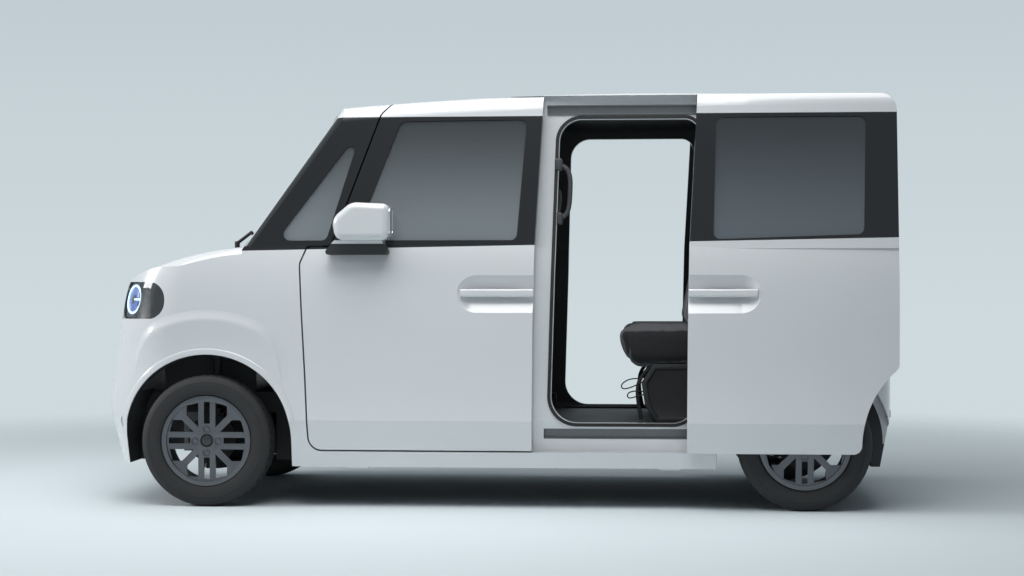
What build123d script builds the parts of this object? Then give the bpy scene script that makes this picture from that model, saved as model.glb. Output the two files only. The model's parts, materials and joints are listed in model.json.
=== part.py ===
"""Tall kei wagon with sliding rear doors, as an assembly of body panels, glass, running gear and cabin.

Millimetres. +X is forward, +Y is the car's left, +Z is up. The origin is on the ground,
under the middle of the car's length. The two sliding doors stand open.
"""

import math
import os

from build123d import *

# Overall sizes
LENGTH = 3395.0
WIDTH = 1475.0
HEIGHT = 1790.0
WHEELBASE = 2520.0
FRONT_OVERHANG = 496.0
TRACK = 1305.0
SILL_Z = 172.0
BELT_Z = 1105.0
FLOOR_Z = 345.0
FLOOR_THICK = 45.0

# Wheels: 155/65 tyres on 14 inch rims
TYRE_R = 278.5
TYRE_WIDTH = 155.0
RIM_R = 191.0
RIM_WIDTH = 132.0
ARCH_R = 365.0

# Walls and gaps
PANEL_GAP = 7.0
SEAT = 0.3
DOOR_THICK = 62.0
POCKET_DEPTH = DOOR_THICK + PANEL_GAP
WALL = 122.0
SKIN = 22.0
ROOF_THICK = 42.0
GLASS = 6.0
GLASS_INSET = 8.0
SEAL_WIDTH = 16.0
TAILGATE_THICK = 70.0
TAILGATE_ROOF_THICK = 30.0

# Sliding doors, as they stand
SLIDE_TRAVEL = 640.0
SLIDE_OUT = 84.0

# Places that follow
NOSE_X = LENGTH / 2
TAIL_X = -LENGTH / 2
HALF = WIDTH / 2
FRONT_AXLE_X = NOSE_X - FRONT_OVERHANG
REAR_AXLE_X = FRONT_AXLE_X - WHEELBASE
WHEEL_Y = TRACK / 2
FIREWALL_X = FRONT_AXLE_X - ARCH_R - 25.0

# The lower body's plan outlines, from the sill up to the belt:
# height, nose behind the front end, tail ahead of the rear end, half width less than the widest
BODY_SECTIONS = [
    (SILL_Z, 48.0, 40.0, 34.0),
    (369.0, 4.0, 4.0, 0.0),
    (480.0, 0.0, 0.0, 7.0),
    (640.0, 22.0, 4.0, 6.0),
    (820.0, 50.0, 8.0, 1.5),
    (980.0, 88.0, 10.0, 8.0),
    (BELT_Z, 160.0, 12.0, 30.0),
]
NOSE_CORNER_R = 300.0
TAIL_CORNER_R = 150.0
NOSE_BOW = 45.0
TAIL_BOW = 20.0
SIDE_BOW = 22.0

# The greenhouse: windscreen and side lean, and the roof's two crowns
SCREEN_BASE_X = 1136.0
SCREEN_LEAN = 0.70
SCREEN_BOW = 105.0
TAIL_LEAN = 0.065
SIDE_LEAN = 0.137
PILLAR_CORNER_R = 90.0
ROOF_PEAK_X = -700.0
ROOF_ARC_R = 16000.0
ROOF_CROWN = 42.0
ROOF_RAIL_R = 75.0
ROOF_HALF = 621.0

# The bonnet: an arc in the side view, crowned across the car
BONNET_FRONT = (1600.0, 962.0)
BONNET_MID = (1408.0, 1047.0)
BONNET_REAR = (1110.0, 1115.0)
BONNET_CROWN = 22.0
BONNET_SHOULDER_R = 90.0
BONNET_REAR_X = 1205.0
BONNET_HALF_REAR = 560.0
BONNET_HALF_FRONT = 500.0

# Lamps
LAMP_LOW_Z = 795.0
LAMP_TOP_Z = 953.0
LAMP_BACK_X = 1382.0
LAMP_INNER_Y = 395.0
LAMP_END_R = 74.0
TAIL_LAMP_LOW_Z = 640.0
TAIL_LAMP_TOP_Z = 1560.0


def plan_face(z, nose, tail, half, nose_r, tail_r, nose_bow, tail_bow, side_bow):
    """A bowed rectangle with round corners, level at height z."""
    front_x = nose - nose_bow
    back_x = tail + tail_bow
    edge_y = half - side_bow
    middle = (nose + tail) / 2
    outline = make_face(
        [
            ThreePointArc((front_x, -edge_y), (nose, 0), (front_x, edge_y)),
            ThreePointArc((front_x, edge_y), (middle, half), (back_x, edge_y)),
            ThreePointArc((back_x, edge_y), (tail, 0), (back_x, -edge_y)),
            ThreePointArc((back_x, -edge_y), (middle, -half), (front_x, -edge_y)),
        ]
    )
    outline = fillet([v for v in outline.vertices() if abs(v.X - front_x) < 1], nose_r)
    outline = fillet([v for v in outline.vertices() if abs(v.X - back_x) < 1], tail_r)
    return Pos(0, 0, z) * outline


def side_prism(face, y_low, y_high):
    """A side-view outline, drawn in X and Z, made solid from y_low to y_high."""
    return extrude(Plane.XZ.offset(-y_low) * face, amount=-(y_high - y_low))


def end_prism(face, x_low, x_high):
    """A front-view outline, drawn in Y and Z, made solid from x_low to x_high."""
    return extrude(Plane.YZ.offset(x_low) * face, amount=x_high - x_low)


def block(x, y, z):
    """A box between two values on each axis."""
    size = [max(pair) - min(pair) for pair in (x, y, z)]
    middle = [(max(pair) + min(pair)) / 2 for pair in (x, y, z)]
    return Pos(*middle) * Box(*size)


def rod(start, end, radius):
    """A round bar between two points."""
    axis = Vector(*end) - Vector(*start)
    return extrude(Plane(origin=start, z_dir=axis) * Circle(radius), amount=axis.length)


def both_sides(shape):
    """A left-hand shape and its mirror image, as one list of solids."""
    return [shape, mirror(shape, about=Plane.XZ)]


def write(name, *shapes):
    """Writes one node from the solids of the given shapes."""
    solids = [solid for shape in shapes for solid in shape.solids()]
    solid_or_group = solids[0] if len(solids) == 1 else Compound(children=solids)
    export_step(solid_or_group, f"parts/{name}.step")


def write_pair(name, left):
    """Writes a left-hand node and its mirror image."""
    write(name + "_left", left)
    write(name + "_right", mirror(left, about=Plane.XZ))


def biggest(shape):
    """The largest solid of a shape."""
    return max(shape.solids(), key=lambda solid: solid.volume)


# Body envelope


def lower_body(side_inset=0.0, end_inset=0.0):
    """The body below the belt: a ruled skirt under the side crease and a smooth loft above it."""
    faces = [
        plan_face(
            z,
            NOSE_X - nose_back - end_inset,
            TAIL_X + tail_ahead + end_inset,
            HALF - narrower - side_inset,
            NOSE_CORNER_R - end_inset,
            TAIL_CORNER_R - end_inset,
            NOSE_BOW,
            TAIL_BOW,
            SIDE_BOW,
        )
        for z, nose_back, tail_ahead, narrower in BODY_SECTIONS
    ]
    return loft(faces[:2], ruled=True) + loft(faces[1:])


def bonnet_cap(inset=0.0):
    """What lies under the bonnet's surface: its crowned section turned about the side arc's centre."""
    arc = ThreePointArc(BONNET_FRONT, BONNET_MID, BONNET_REAR)
    centre, radius = arc.arc_center, arc.radius
    low = 100.0
    top = radius - inset
    half = HALF - 12.0 - inset
    section = make_face(
        [
            ThreePointArc((-half, top - BONNET_CROWN), (0, top), (half, top - BONNET_CROWN)),
            Line((half, top - BONNET_CROWN), (half, low)),
            Line((half, low), (-half, low)),
            Line((-half, low), (-half, top - BONNET_CROWN)),
        ]
    )
    shoulder = BONNET_SHOULDER_R - inset
    section = fillet([v for v in section.vertices() if v.Y > low + 1], shoulder)
    plane = Plane(origin=(centre.X, 0, centre.Y), x_dir=(0, 1, 0), z_dir=(1, 0, 0))
    axis = Axis((centre.X, 0, centre.Y), (0, 1, 0))
    return revolve(plane * section, axis=axis, revolution_arc=70)


def greenhouse(side_inset=0.0, screen_inset=0.0, tail_inset=0.0, roof_inset=0.0):
    """The cabin above the belt: a leaning loft, topped by a roof that is crowned both ways."""
    low, high = BELT_Z - 15.0, HEIGHT + 60.0
    faces = []
    for z in (low, high):
        rise = z - BELT_Z
        faces.append(
            plan_face(
                z,
                SCREEN_BASE_X - rise * SCREEN_LEAN - screen_inset,
                TAIL_X + 12.0 + rise * TAIL_LEAN + tail_inset,
                HALF - 26.0 - rise * SIDE_LEAN + 8.0 - side_inset,
                PILLAR_CORNER_R,
                TAIL_CORNER_R - tail_inset,
                SCREEN_BOW,
                TAIL_BOW,
                8.0,
            )
        )
    shape = loft(faces, ruled=True)

    top = ROOF_ARC_R - roof_inset
    base = ROOF_ARC_R - (HEIGHT - BELT_Z) - 40.0
    eave = top - ROOF_CROWN
    eave_half = ROOF_HALF - side_inset
    base_half = eave_half + (eave - base) * SIDE_LEAN
    section = make_face(
        [
            ThreePointArc((-eave_half, eave), (0, top), (eave_half, eave)),
            Line((eave_half, eave), (base_half, base)),
            Line((base_half, base), (-base_half, base)),
            Line((-base_half, base), (-eave_half, eave)),
        ]
    )
    section = fillet([v for v in section.vertices() if v.Y > base + 1], ROOF_RAIL_R)
    plane = Plane(
        origin=(ROOF_PEAK_X, 0, HEIGHT - ROOF_ARC_R), x_dir=(0, 1, 0), z_dir=(1, 0, 0)
    )
    axis = Axis((ROOF_PEAK_X, 0, HEIGHT - ROOF_ARC_R), (0, 1, 0))
    forward = revolve(plane * section, axis=axis, revolution_arc=8)
    backward = revolve(plane * section, axis=axis, revolution_arc=-8)
    shape = shape & (forward + backward)

    drop = roof_inset
    header = make_face(
        [
            Line((TAIL_X - 200, BELT_Z - 100), (TAIL_X - 200, HEIGHT + 100)),
            Line((TAIL_X - 200, HEIGHT + 100), (300, HEIGHT + 100)),
            Line((300, HEIGHT + 100), (300, 1778 - drop)),
            ThreePointArc((300, 1778 - drop), (575 - drop, 1738 - drop), (745 - drop, 1632 - drop)),
            Line((745 - drop, 1632 - drop), (1300, BELT_Z - 100)),
            Line((1300, BELT_Z - 100), (TAIL_X - 200, BELT_Z - 100)),
        ]
    )
    return shape & side_prism(header, -HALF, HALF)


def envelope(lower, upper):
    """Lower body and greenhouse as one solid, with the bonnet line cut."""
    behind = block((TAIL_X - 50, BONNET_REAR[0] - 60), (-HALF, HALF), (SILL_Z - 10, BELT_Z + 20))
    return (lower & (bonnet_cap() + behind)) + upper


OUTER = envelope(lower_body(), greenhouse())
DOOR_CORE = envelope(lower_body(DOOR_THICK), greenhouse(DOOR_THICK))
SEAL_CORE = envelope(lower_body(DOOR_THICK + SEAT), greenhouse(DOOR_THICK + SEAT))
POCKET_CORE = envelope(lower_body(POCKET_DEPTH), greenhouse(POCKET_DEPTH))


def tail_core(extra):
    """The body without the tailgate's thickness at the tail and the roof's rear edge."""
    depth = TAILGATE_THICK + extra
    return envelope(
        lower_body(0.0, depth), greenhouse(0.0, 0.0, depth, TAILGATE_ROOF_THICK + extra)
    )


TAIL_CORE = tail_core(0.0)
TAIL_POCKET_CORE = tail_core(PANEL_GAP)

# Lines at which the body is split and hollowed
DITCH_Y = 566.0
ROOF_SEAM_Y = 532.0
SILL_INNER_Y = 590.0
BAY_HALF = 400.0
BAY_WIDE_HALF = 620.0
FRONT_WELL_Y = 398.0
REAR_WELL_Y = 545.0
WHEELHOUSE_Y = 520.0
SHELF_Z = TYRE_R + ARCH_R + 45.0
FRONT_ARCH_Z = TYRE_R + ARCH_R
HEADER_Z = 1676.0
FENDER_REAR_X = 803.0
BULKHEAD_X = 1045.0
TAIL_SEAM_X = -1580.0
REAR_BUMPER_Z = 486.0
REAR_BUMPER_X = -1530.0
ABOVE = HEIGHT + 100.0
BESIDE = HALF + 100.0
LEFT_SIDE = (DITCH_Y, BESIDE)
FRONT_DOOR_EDGE_X = -190.0


def cabin_space():
    """The hollow of the cabin: narrower between the rear wheels and stepped over the front ones."""
    room = lower_body(WALL, WALL) + greenhouse(WALL, ROOF_THICK, WALL, ROOF_THICK)
    foot = block((TAIL_X, FIREWALL_X), (-BESIDE, BESIDE), (FLOOR_Z, SHELF_Z + 1))
    above = block((TAIL_X, NOSE_X), (-BESIDE, BESIDE), (SHELF_Z, ABOVE))
    wheelhouse = block((TAIL_X, REAR_AXLE_X + ARCH_R + 40), (WHEELHOUSE_Y, BESIDE), (0, SHELF_Z))
    bulkhead = block((BULKHEAD_X, NOSE_X), (-BESIDE, BESIDE), (0, BELT_Z - 8))
    return (room & (foot + above)) - both_sides(wheelhouse) - bulkhead


def engine_bay():
    """The open space under the bonnet, between the wheels and behind the bumper."""
    low = block((FIREWALL_X + 60, NOSE_X - 150), (-BAY_HALF, BAY_HALF), (0, FRONT_ARCH_Z + 60))
    high = block((BULKHEAD_X + 60, NOSE_X - 195), (-BAY_WIDE_HALF, BAY_WIDE_HALF), (300, HEIGHT))
    return (low + high) & bonnet_cap(SKIN + PANEL_GAP)


def wheel_well(x, inner):
    """A left wheel's arch, open to the outside and below."""
    middle = (inner + BESIDE) / 2
    barrel = Pos(x, middle, TYRE_R) * Rot(90, 0, 0) * Cylinder(ARCH_R, BESIDE - inner)
    return barrel + block((x - ARCH_R, x + ARCH_R), (inner, BESIDE), (0, TYRE_R))


# Outlines in the side view, drawn in X and Z, and in the end view, drawn in Y and Z


def rounded(points, radii):
    """A polygon with a round at each corner whose radius isn't zero."""
    face = make_face(Polyline(*points, close=True))
    for (x, z), radius in zip(points, radii):
        if radius:
            corner = [v for v in face.vertices() if abs(v.X - x) + abs(v.Y - z) < 0.01]
            face = fillet(corner, radius)
    return face


def front_door_outline():
    """The front door: foot, hinge edge, quarter window corner, roof edge, rear edge."""
    return rounded(
        [
            (758, 244), (797, 1030), (768, 1098), (668, 1100), (462, 1665), (395, 1737),
            (-228, 1737), (-194, 1110), (-186, 751), (-182, 244),
        ],
        [55, 40, 12, 25, 60, 60, 0, 0, 0, 0],
    )


def slide_door_outline():
    """The sliding door where it shuts; its rear edge follows the rear wheel arch."""
    gap = PANEL_GAP
    shut = rounded(
        [
            (-228 - gap, 1737), (-194 - gap, 1110), (-186 - gap, 751), (-182 - gap, 244),
            (-1054, 244), (-1054, 1737),
        ],
        [0, 0, 0, 0, 0, 70],
    )
    shut = shut - Pos(REAR_AXLE_X, TYRE_R) * Circle(ARCH_R + 50)
    sharp = [v for v in shut.vertices() if v.X < -880 and v.Y < 700]
    return fillet(sharp, 35)


def grown(outline, amount):
    """An outline moved outwards all round, or inwards where the amount is negative."""
    return offset(outline, amount, kind=Kind.INTERSECTION)


FRONT_WINDOW = rounded([(570, 1128), (378, 1636), (-158, 1640), (-118, 1128)], [28, 40, 28, 28])
SLIDE_WINDOW = rounded([(-298, 1128), (-312, 1638), (-928, 1638), (-914, 1148)], [28] * 4)
QUARTER_WINDOW = rounded([(905, 1128), (545, 1612), (690, 1128)], [30, 20, 30])
REAR_WINDOW = rounded([(-1110, 1150), (-1110, 1632), (-1500, 1632), (-1520, 1158)], [30] * 4)
FRONT_OPENING = rounded(
    [(700, 350), (730, 1010), (640, 1055), (430, 1600), (350, 1640), (-150, 1640), (-105, 350)],
    [90, 60, 30, 40, 60, 60, 60],
)
SLIDE_OPENING = rounded([(-258, 360), (-296, 1645), (-885, 1645), (-860, 360)], [110, 95, 60, 90])
TAIL_OUTLINE = rounded(
    [(-600, 500), (-585, 1120), (-560, ABOVE), (560, ABOVE), (585, 1120), (600, 500)],
    [40, 0, 0, 0, 0, 40],
)
TAIL_OPENING = rounded([(-530, 570), (-500, 1650), (500, 1650), (530, 570)], [60] * 4)
TAIL_WINDOW = rounded([(-505, 1150), (-485, 1615), (485, 1615), (505, 1150)], [45] * 4)
SCREEN_OUTLINE = rounded([(-625, 1150), (-540, 1660), (540, 1660), (625, 1150)], [60, 70, 70, 60])
BONNET_OUTLINE = make_face(
    Polyline(
        (BONNET_REAR_X, -BONNET_HALF_REAR), (NOSE_X + 50, -BONNET_HALF_FRONT),
        (NOSE_X + 50, BONNET_HALF_FRONT), (BONNET_REAR_X, BONNET_HALF_REAR), close=True,
    )
)
BUMPER_OUTLINE = make_face(
    Polyline((1390, 100), (1390, 650), (1436, LAMP_LOW_Z), (1800, LAMP_LOW_Z), (1800, 100), close=True)
)
LAMP_OUTLINE = rounded(
    [
        (LAMP_BACK_X, LAMP_LOW_Z), (LAMP_BACK_X, LAMP_TOP_Z),
        (NOSE_X + 50, LAMP_TOP_Z), (NOSE_X + 50, LAMP_LOW_Z),
    ],
    [LAMP_END_R, LAMP_END_R, 0, 0],
)
TAIL_REACH = (TAIL_X - 60, TAIL_SEAM_X)
LEFT_OUTER = OUTER & block((TAIL_X - 60, NOSE_X + 60), (0, BESIDE), (0, ABOVE))

# Hinges: front doors on upright axes, bonnet and tailgate across the car
DOOR_HINGE = (740.0, 725.0)
DOOR_HINGE_ROOM = 96.0
KINGPIN_Y = WHEEL_Y - 85.0


def whole(left):
    """A left half and its mirror image, joined at the middle of the car."""
    return left + mirror(left, about=Plane.XZ)


def side_panel(outline):
    """The outer layer of the left side within an outline: a whole door, as thick as it is."""
    return (LEFT_OUTER & side_prism(outline, *LEFT_SIDE)) - DOOR_CORE


def side_pocket(outline):
    """The room that a door takes up in the left body side, with the gap round it."""
    room = side_prism(grown(outline, PANEL_GAP), DITCH_Y - PANEL_GAP, BESIDE)
    return (LEFT_OUTER & room) - POCKET_CORE


def side_glass(outline):
    """A pane in the left side, set in from the skin and seated in its opening."""
    pane = greenhouse(GLASS_INSET) - greenhouse(GLASS_INSET + GLASS)
    return pane & side_prism(grown(outline, -SEAT), *LEFT_SIDE)


def side_seal(opening):
    """The rubber round a left door opening, from the pocket's floor to the shut door."""
    ring = grown(opening, SEAL_WIDTH) - grown(opening, 2.0)
    return (SEAL_CORE & side_prism(ring, DITCH_Y - 40, BESIDE)) - POCKET_CORE


def bonnet_solid():
    """The bonnet: a layer under the crowned surface, inside its plan outline."""
    column = extrude(BONNET_OUTLINE, amount=ABOVE)
    return (OUTER & column) - bonnet_cap(SKIN)


def bonnet_room():
    """The room that the bonnet takes up, with the gap round it."""
    column = extrude(grown(BONNET_OUTLINE, PANEL_GAP), amount=ABOVE)
    return (LEFT_OUTER & column) - bonnet_cap(SKIN + PANEL_GAP)


# Doors, bonnet and tailgate
HANDLE_Z = 906.0
HANDLE_POCKET_DEPTH = 28.0
HANDLE_POCKET_HALF = 80.0
HANDLE_BAR = 34.0
HANDLE_BAR_THICK = 26.0
HANDLE_PROUD = 6.0
HANDLE_CAP = 62.0


def with_handle(door, skin_y, edge_x, round_x):
    """Scoops a hand pocket out of a left door, round at one end, and bridges it with a grip.

    edge_x is the door's edge that the pocket runs out at, and round_x is its other end.
    """
    toward = math.copysign(1.0, edge_x - round_x)
    span = HANDLE_POCKET_HALF ** 2 / HANDLE_POCKET_DEPTH
    radius = (span + HANDLE_POCKET_DEPTH) / 2
    axis_y = skin_y + (span - HANDLE_POCKET_DEPTH) / 2
    ball_x = round_x + toward * HANDLE_POCKET_HALF
    scoop = Pos(ball_x, axis_y, HANDLE_Z) * Sphere(radius)
    scoop += rod((ball_x, axis_y, HANDLE_Z), (edge_x + toward * radius, axis_y, HANDLE_Z), radius)
    half = HANDLE_BAR / 2
    grip_y = (skin_y + HANDLE_PROUD - HANDLE_BAR_THICK, skin_y + HANDLE_PROUD)
    grip = block((round_x + toward * 14, edge_x), grip_y, (HANDLE_Z - half, HANDLE_Z + half))
    grip = fillet(grip.edges().filter_by(Axis.X), HANDLE_BAR_THICK * 0.35)
    cap = block(
        (edge_x - toward * HANDLE_CAP, edge_x),
        (skin_y - HANDLE_POCKET_DEPTH - 2, grip_y[1] - 4),
        (HANDLE_Z - half + 3, HANDLE_Z + half - 3),
    )
    return biggest((door - scoop) + grip + cap)


FRONT_DOOR = side_panel(front_door_outline()) - side_prism(FRONT_WINDOW, *LEFT_SIDE)
FRONT_DOOR = with_handle(FRONT_DOOR, HALF - 4, FRONT_DOOR_EDGE_X, 130.0)
SLIDE_DOOR = side_panel(slide_door_outline()) - side_prism(SLIDE_WINDOW, *LEFT_SIDE)
SLIDE_DOOR = with_handle(SLIDE_DOOR, HALF - 5, FRONT_DOOR_EDGE_X - PANEL_GAP, -492.0)
SLIDE_MOVE = Pos(-SLIDE_TRAVEL, SLIDE_OUT, 0)
SLIDE_OPEN = SLIDE_MOVE * SLIDE_DOOR
BONNET = bonnet_solid()
TAILGATE = (OUTER & end_prism(TAIL_OUTLINE, *TAIL_REACH)) - TAIL_CORE
TAILGATE = TAILGATE - end_prism(TAIL_WINDOW, *TAIL_REACH)

# Body shell, left half, then split where its panels meet
tail_room = end_prism(grown(TAIL_OUTLINE, PANEL_GAP), TAIL_X - 60, TAIL_SEAM_X + PANEL_GAP)
under_floor = block((TAIL_X + 90, FIREWALL_X), (0, SILL_INNER_Y), (0, FLOOR_Z - FLOOR_THICK))
hinge_room = Pos(*DOOR_HINGE, (SILL_Z + BELT_Z) / 2) * Cylinder(DOOR_HINGE_ROOM, BELT_Z - SILL_Z)
hinge_room &= side_prism(grown(front_door_outline(), PANEL_GAP), DITCH_Y, BESIDE)
# sliding door rails: X, Y and Z ends of the slot in the left body side, and the liner's depth in it
SLIDE_RAILS = [
    ((-1050.0, -240.0), (545.0, 700.0), (1665.0, 1706.0), 24.0),
    ((-860.0, -230.0), (622.0, 700.0), (291.0, 335.0), 24.0),
    ((-1640.0, -1062.0), (700.0, 780.0), (758.0, 792.0), 12.0),
]
body = LEFT_OUTER - cabin_space() - engine_bay()
body = body - wheel_well(FRONT_AXLE_X, FRONT_WELL_Y) - wheel_well(REAR_AXLE_X, REAR_WELL_Y)
body = body - side_pocket(front_door_outline()) - side_pocket(slide_door_outline())
for outline in (FRONT_OPENING, SLIDE_OPENING, QUARTER_WINDOW, REAR_WINDOW):
    body = body - side_prism(outline, 300, BESIDE)
body = body - ((LEFT_OUTER & tail_room) - TAIL_POCKET_CORE)
body = body - end_prism(TAIL_OPENING, TAIL_X, TAIL_SEAM_X + 90)
body = body - end_prism(SCREEN_OUTLINE, 500, NOSE_X) - bonnet_room() - under_floor - hinge_room
for *slot, _ in SLIDE_RAILS:
    body = body - block(*slot)

# left half regions, taken in this order: name, then side-view outlines or the X, Y and Z ends of blocks
REGIONS = [
    ("roof_panel", [((TAIL_X, NOSE_X), (0, ROOF_SEAM_Y), (HEADER_Z, ABOVE))]),
    ("rear_bumper", [((TAIL_X - 60, REAR_BUMPER_X), (0, BESIDE), (0, REAR_BUMPER_Z))]),
    (
        "tail_lamp",
        [((TAIL_X - 60, TAIL_X + 100), (612, BESIDE), (TAIL_LAMP_LOW_Z, TAIL_LAMP_TOP_Z))],
    ),
    ("front_grille", [((1500, 1800), (0, LAMP_INNER_Y), (LAMP_LOW_Z, LAMP_TOP_Z + 30))]),
    ("headlamp", [LAMP_OUTLINE]),
    ("cowl_panel", [((BULKHEAD_X, BONNET_REAR_X), (0, 640), (BELT_Z - 80, BELT_Z + 45))]),
    ("floor_pan", [((-1560, FIREWALL_X), (0, SILL_INNER_Y), (0, FLOOR_Z))]),
    ("front_bumper", [BUMPER_OUTLINE]),
    (
        "front_fender",
        [
            ((FENDER_REAR_X, 1800), (BAY_WIDE_HALF - 20, BESIDE), (0, BELT_Z + 3)),
            ((BONNET_REAR_X, 1800), (LAMP_INNER_Y, BESIDE), (LAMP_TOP_Z, BELT_Z + 3)),
        ],
    ),
    ("front_frame", [((FIREWALL_X, 1800), (0, BAY_WIDE_HALF - 20), (0, BELT_Z - 20))]),
]
shell = {}
for name, limits in REGIONS:
    region = Part() + [
        block(*limit) if isinstance(limit, tuple) else side_prism(limit, 0, BESIDE) for limit in limits
    ]
    shell[name] = body & region
    body = body - region


# Trim on the shell: jack pads under the sills, slots in the grille and the bumper's lower intake
JACK_PAD = (90.0, 36.0, 10.0)
JACK_PAD_X = (560.0, -760.0)
JACK_PAD_Y = 640.0
INTAKE_HALF = 420.0
INTAKE_Z = (300.0, 430.0)
GRILLE_BARS = 3
jack_pads = [
    Pos(x, JACK_PAD_Y, SILL_Z - JACK_PAD[2] / 2) * Box(*JACK_PAD) for x in JACK_PAD_X
]
body_side = body + jack_pads
bar_pitch = (LAMP_TOP_Z - LAMP_LOW_Z) / (GRILLE_BARS + 1)
grille_slots = [
    block((NOSE_X - 90, NOSE_X + 50), (0, LAMP_INNER_Y - 25), (z - bar_pitch * 0.3, z + bar_pitch * 0.3))
    for z in (LAMP_LOW_Z + bar_pitch * (i + 0.5) for i in range(GRILLE_BARS + 1))
]
intake = block((NOSE_X - 75, NOSE_X + 50), (0, INTAKE_HALF), INTAKE_Z)
slat = block((NOSE_X - 75, NOSE_X - 25), (0, INTAKE_HALF), (355.0, 375.0))

# Glass and rubber
screen_pane = greenhouse(0.0, GLASS_INSET) - greenhouse(0.0, GLASS_INSET + GLASS)
windshield = screen_pane & end_prism(grown(SCREEN_OUTLINE, -SEAT), 560, NOSE_X)
tail_pane = greenhouse(0.0, 0.0, GLASS_INSET) & end_prism(grown(TAIL_WINDOW, -SEAT), *TAIL_REACH)
tailgate_glass = tail_pane - greenhouse(0.0, 0.0, GLASS_INSET + GLASS)
front_door_glass = side_glass(FRONT_WINDOW)
slide_door_glass = SLIDE_MOVE * side_glass(SLIDE_WINDOW)
fixed_glass = side_glass(QUARTER_WINDOW) + side_glass(REAR_WINDOW)
seal_front_x = DOOR_HINGE[0] - DOOR_HINGE_ROOM
front_seal = side_seal(FRONT_OPENING) & block((TAIL_X, seal_front_x), (0, BESIDE), (0, ABOVE))
slide_seal = side_seal(SLIDE_OPENING)
tail_ring = grown(TAIL_OPENING, SEAL_WIDTH) - grown(TAIL_OPENING, 2.0)
tail_seal = (tail_core(SEAT) & end_prism(tail_ring, TAIL_X - 60, TAIL_SEAM_X)) - TAIL_POCKET_CORE
bonnet_seal = (bonnet_cap(SKIN + SEAT) - bonnet_cap(SKIN + PANEL_GAP)) & block(
    (NOSE_X - 185, NOSE_X - 165), (-350, 350), (0, HEIGHT)
)


# Wheels, turned about Y at the origin with the outer face towards +Y
HUB_R = 30.0
DISC_OUT = 48.0
DISC_THICK = 14.0
BARREL_R = 172.0
LUG_CIRCLE_R = 50.0
LUG_POCKET_R = 17.0
LUG_POCKET_DEPTH = 9.0
LUG_R = 9.5
# spoke openings, four times round: side slots beside each arm, and the slot down the arm's middle
SIDE_SLOT = [(37.0, 57.0), (87.0, 107.0), (87.0, 148.0), (37.0, 160.0)]
ARM_SLOT = (25.0, 72.0, 164.0)


def rim():
    """A wheel: a barrel with two flanges and a pierced disc of four double arms."""
    half = RIM_WIDTH / 2
    profile = make_face(
        Polyline(
            (RIM_R, half), (RIM_R, half - 9), (BARREL_R + 6, half - 16), (BARREL_R + 6, -half + 12),
            (RIM_R, -half + 9), (RIM_R, -half), (BARREL_R, -half), (BARREL_R, half), close=True,
        )
    )
    barrel = revolve(Plane.XZ * profile, axis=Axis.Z)
    disc = Pos(0, 0, DISC_OUT - DISC_THICK / 2) * Cylinder(BARREL_R + 2, DISC_THICK)
    hub = Pos(0, 0, DISC_OUT - 20) * Cylinder(52, 40)
    lug_places = [Rot(0, 0, 90 * i) * Pos(0, LUG_CIRCLE_R, DISC_OUT) for i in range(4)]
    pockets = [place * Cylinder(LUG_POCKET_R, 2 * LUG_POCKET_DEPTH) for place in lug_places]
    lugs = [place * Pos(0, 0, -LUG_POCKET_DEPTH) * Cylinder(LUG_R, LUG_POCKET_DEPTH) for place in lug_places]
    slots = []
    for i in range(4):
        turn = Rot(0, 0, 90 * i)
        for side in (1, -1):
            points = [(side * x, y) for x, y in SIDE_SLOT]
            slots.append(turn * extrude(make_face(Polyline(*points, close=True)), amount=100))
        half_slot, low, high = ARM_SLOT
        middle = Pos(0, (low + high) / 2) * Rectangle(half_slot, high - low)
        slots.append(turn * extrude(middle, amount=100))
    wheel = barrel + ((disc + hub) - slots - pockets) + lugs
    return wheel - Pos(0, 0, -20) * Cylinder(HUB_R + SEAT, 2 * (DISC_OUT - 5))


def tyre():
    """A tyre with round shoulders, seated on the barrel."""
    half = TYRE_WIDTH / 2
    profile = make_face(
        Polyline(
            (BARREL_R + 6 + SEAT, -half + 25), (BARREL_R + 6 + SEAT, half - 29), (RIM_R + SEAT, half - 22),
            (RIM_R + 8, half - 6), (RIM_R + 40, half), (TYRE_R - 22, half - 4), (TYRE_R, half - 24),
            (TYRE_R, -half + 24), (TYRE_R - 22, -half + 4), (RIM_R + 40, -half), (RIM_R + 8, -half + 6),
            (RIM_R + SEAT, -half + 22), close=True,
        )
    )
    return revolve(Plane.XZ * profile, axis=Axis.Z)


# wheel corner, X, Y and turn about X that points its outer face outwards
WHEELS = [
    ("front_left", FRONT_AXLE_X, WHEEL_Y, -90),
    ("front_right", FRONT_AXLE_X, -WHEEL_Y, 90),
    ("rear_left", REAR_AXLE_X, WHEEL_Y, -90),
    ("rear_right", REAR_AXLE_X, -WHEEL_Y, 90),
]

# Front running gear: knuckle, lower arm and strut on each side
KNUCKLE_Z = (172.0, 388.0)
KINGPIN_R = 10.0
knuckle = block((FRONT_AXLE_X - 45, FRONT_AXLE_X + 45), (KINGPIN_Y - 24, KINGPIN_Y + 14), KNUCKLE_Z)
knuckle += rod((FRONT_AXLE_X, KINGPIN_Y, TYRE_R), (FRONT_AXLE_X, WHEEL_Y + DISC_OUT - 28, TYRE_R), HUB_R)
knuckle += rod((FRONT_AXLE_X, KINGPIN_Y + 20, TYRE_R), (FRONT_AXLE_X, KINGPIN_Y + 34, TYRE_R), 104)
kingpin_low, kingpin_high = KNUCKLE_Z[0] - 14, KNUCKLE_Z[1] + 12
kingpin = (FRONT_AXLE_X, KINGPIN_Y)
knuckle += rod((*kingpin, kingpin_low), (*kingpin, kingpin_high), KINGPIN_R)
pin_room = rod((*kingpin, kingpin_low - 30), (*kingpin, kingpin_high + 30), KINGPIN_R + SEAT)
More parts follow.
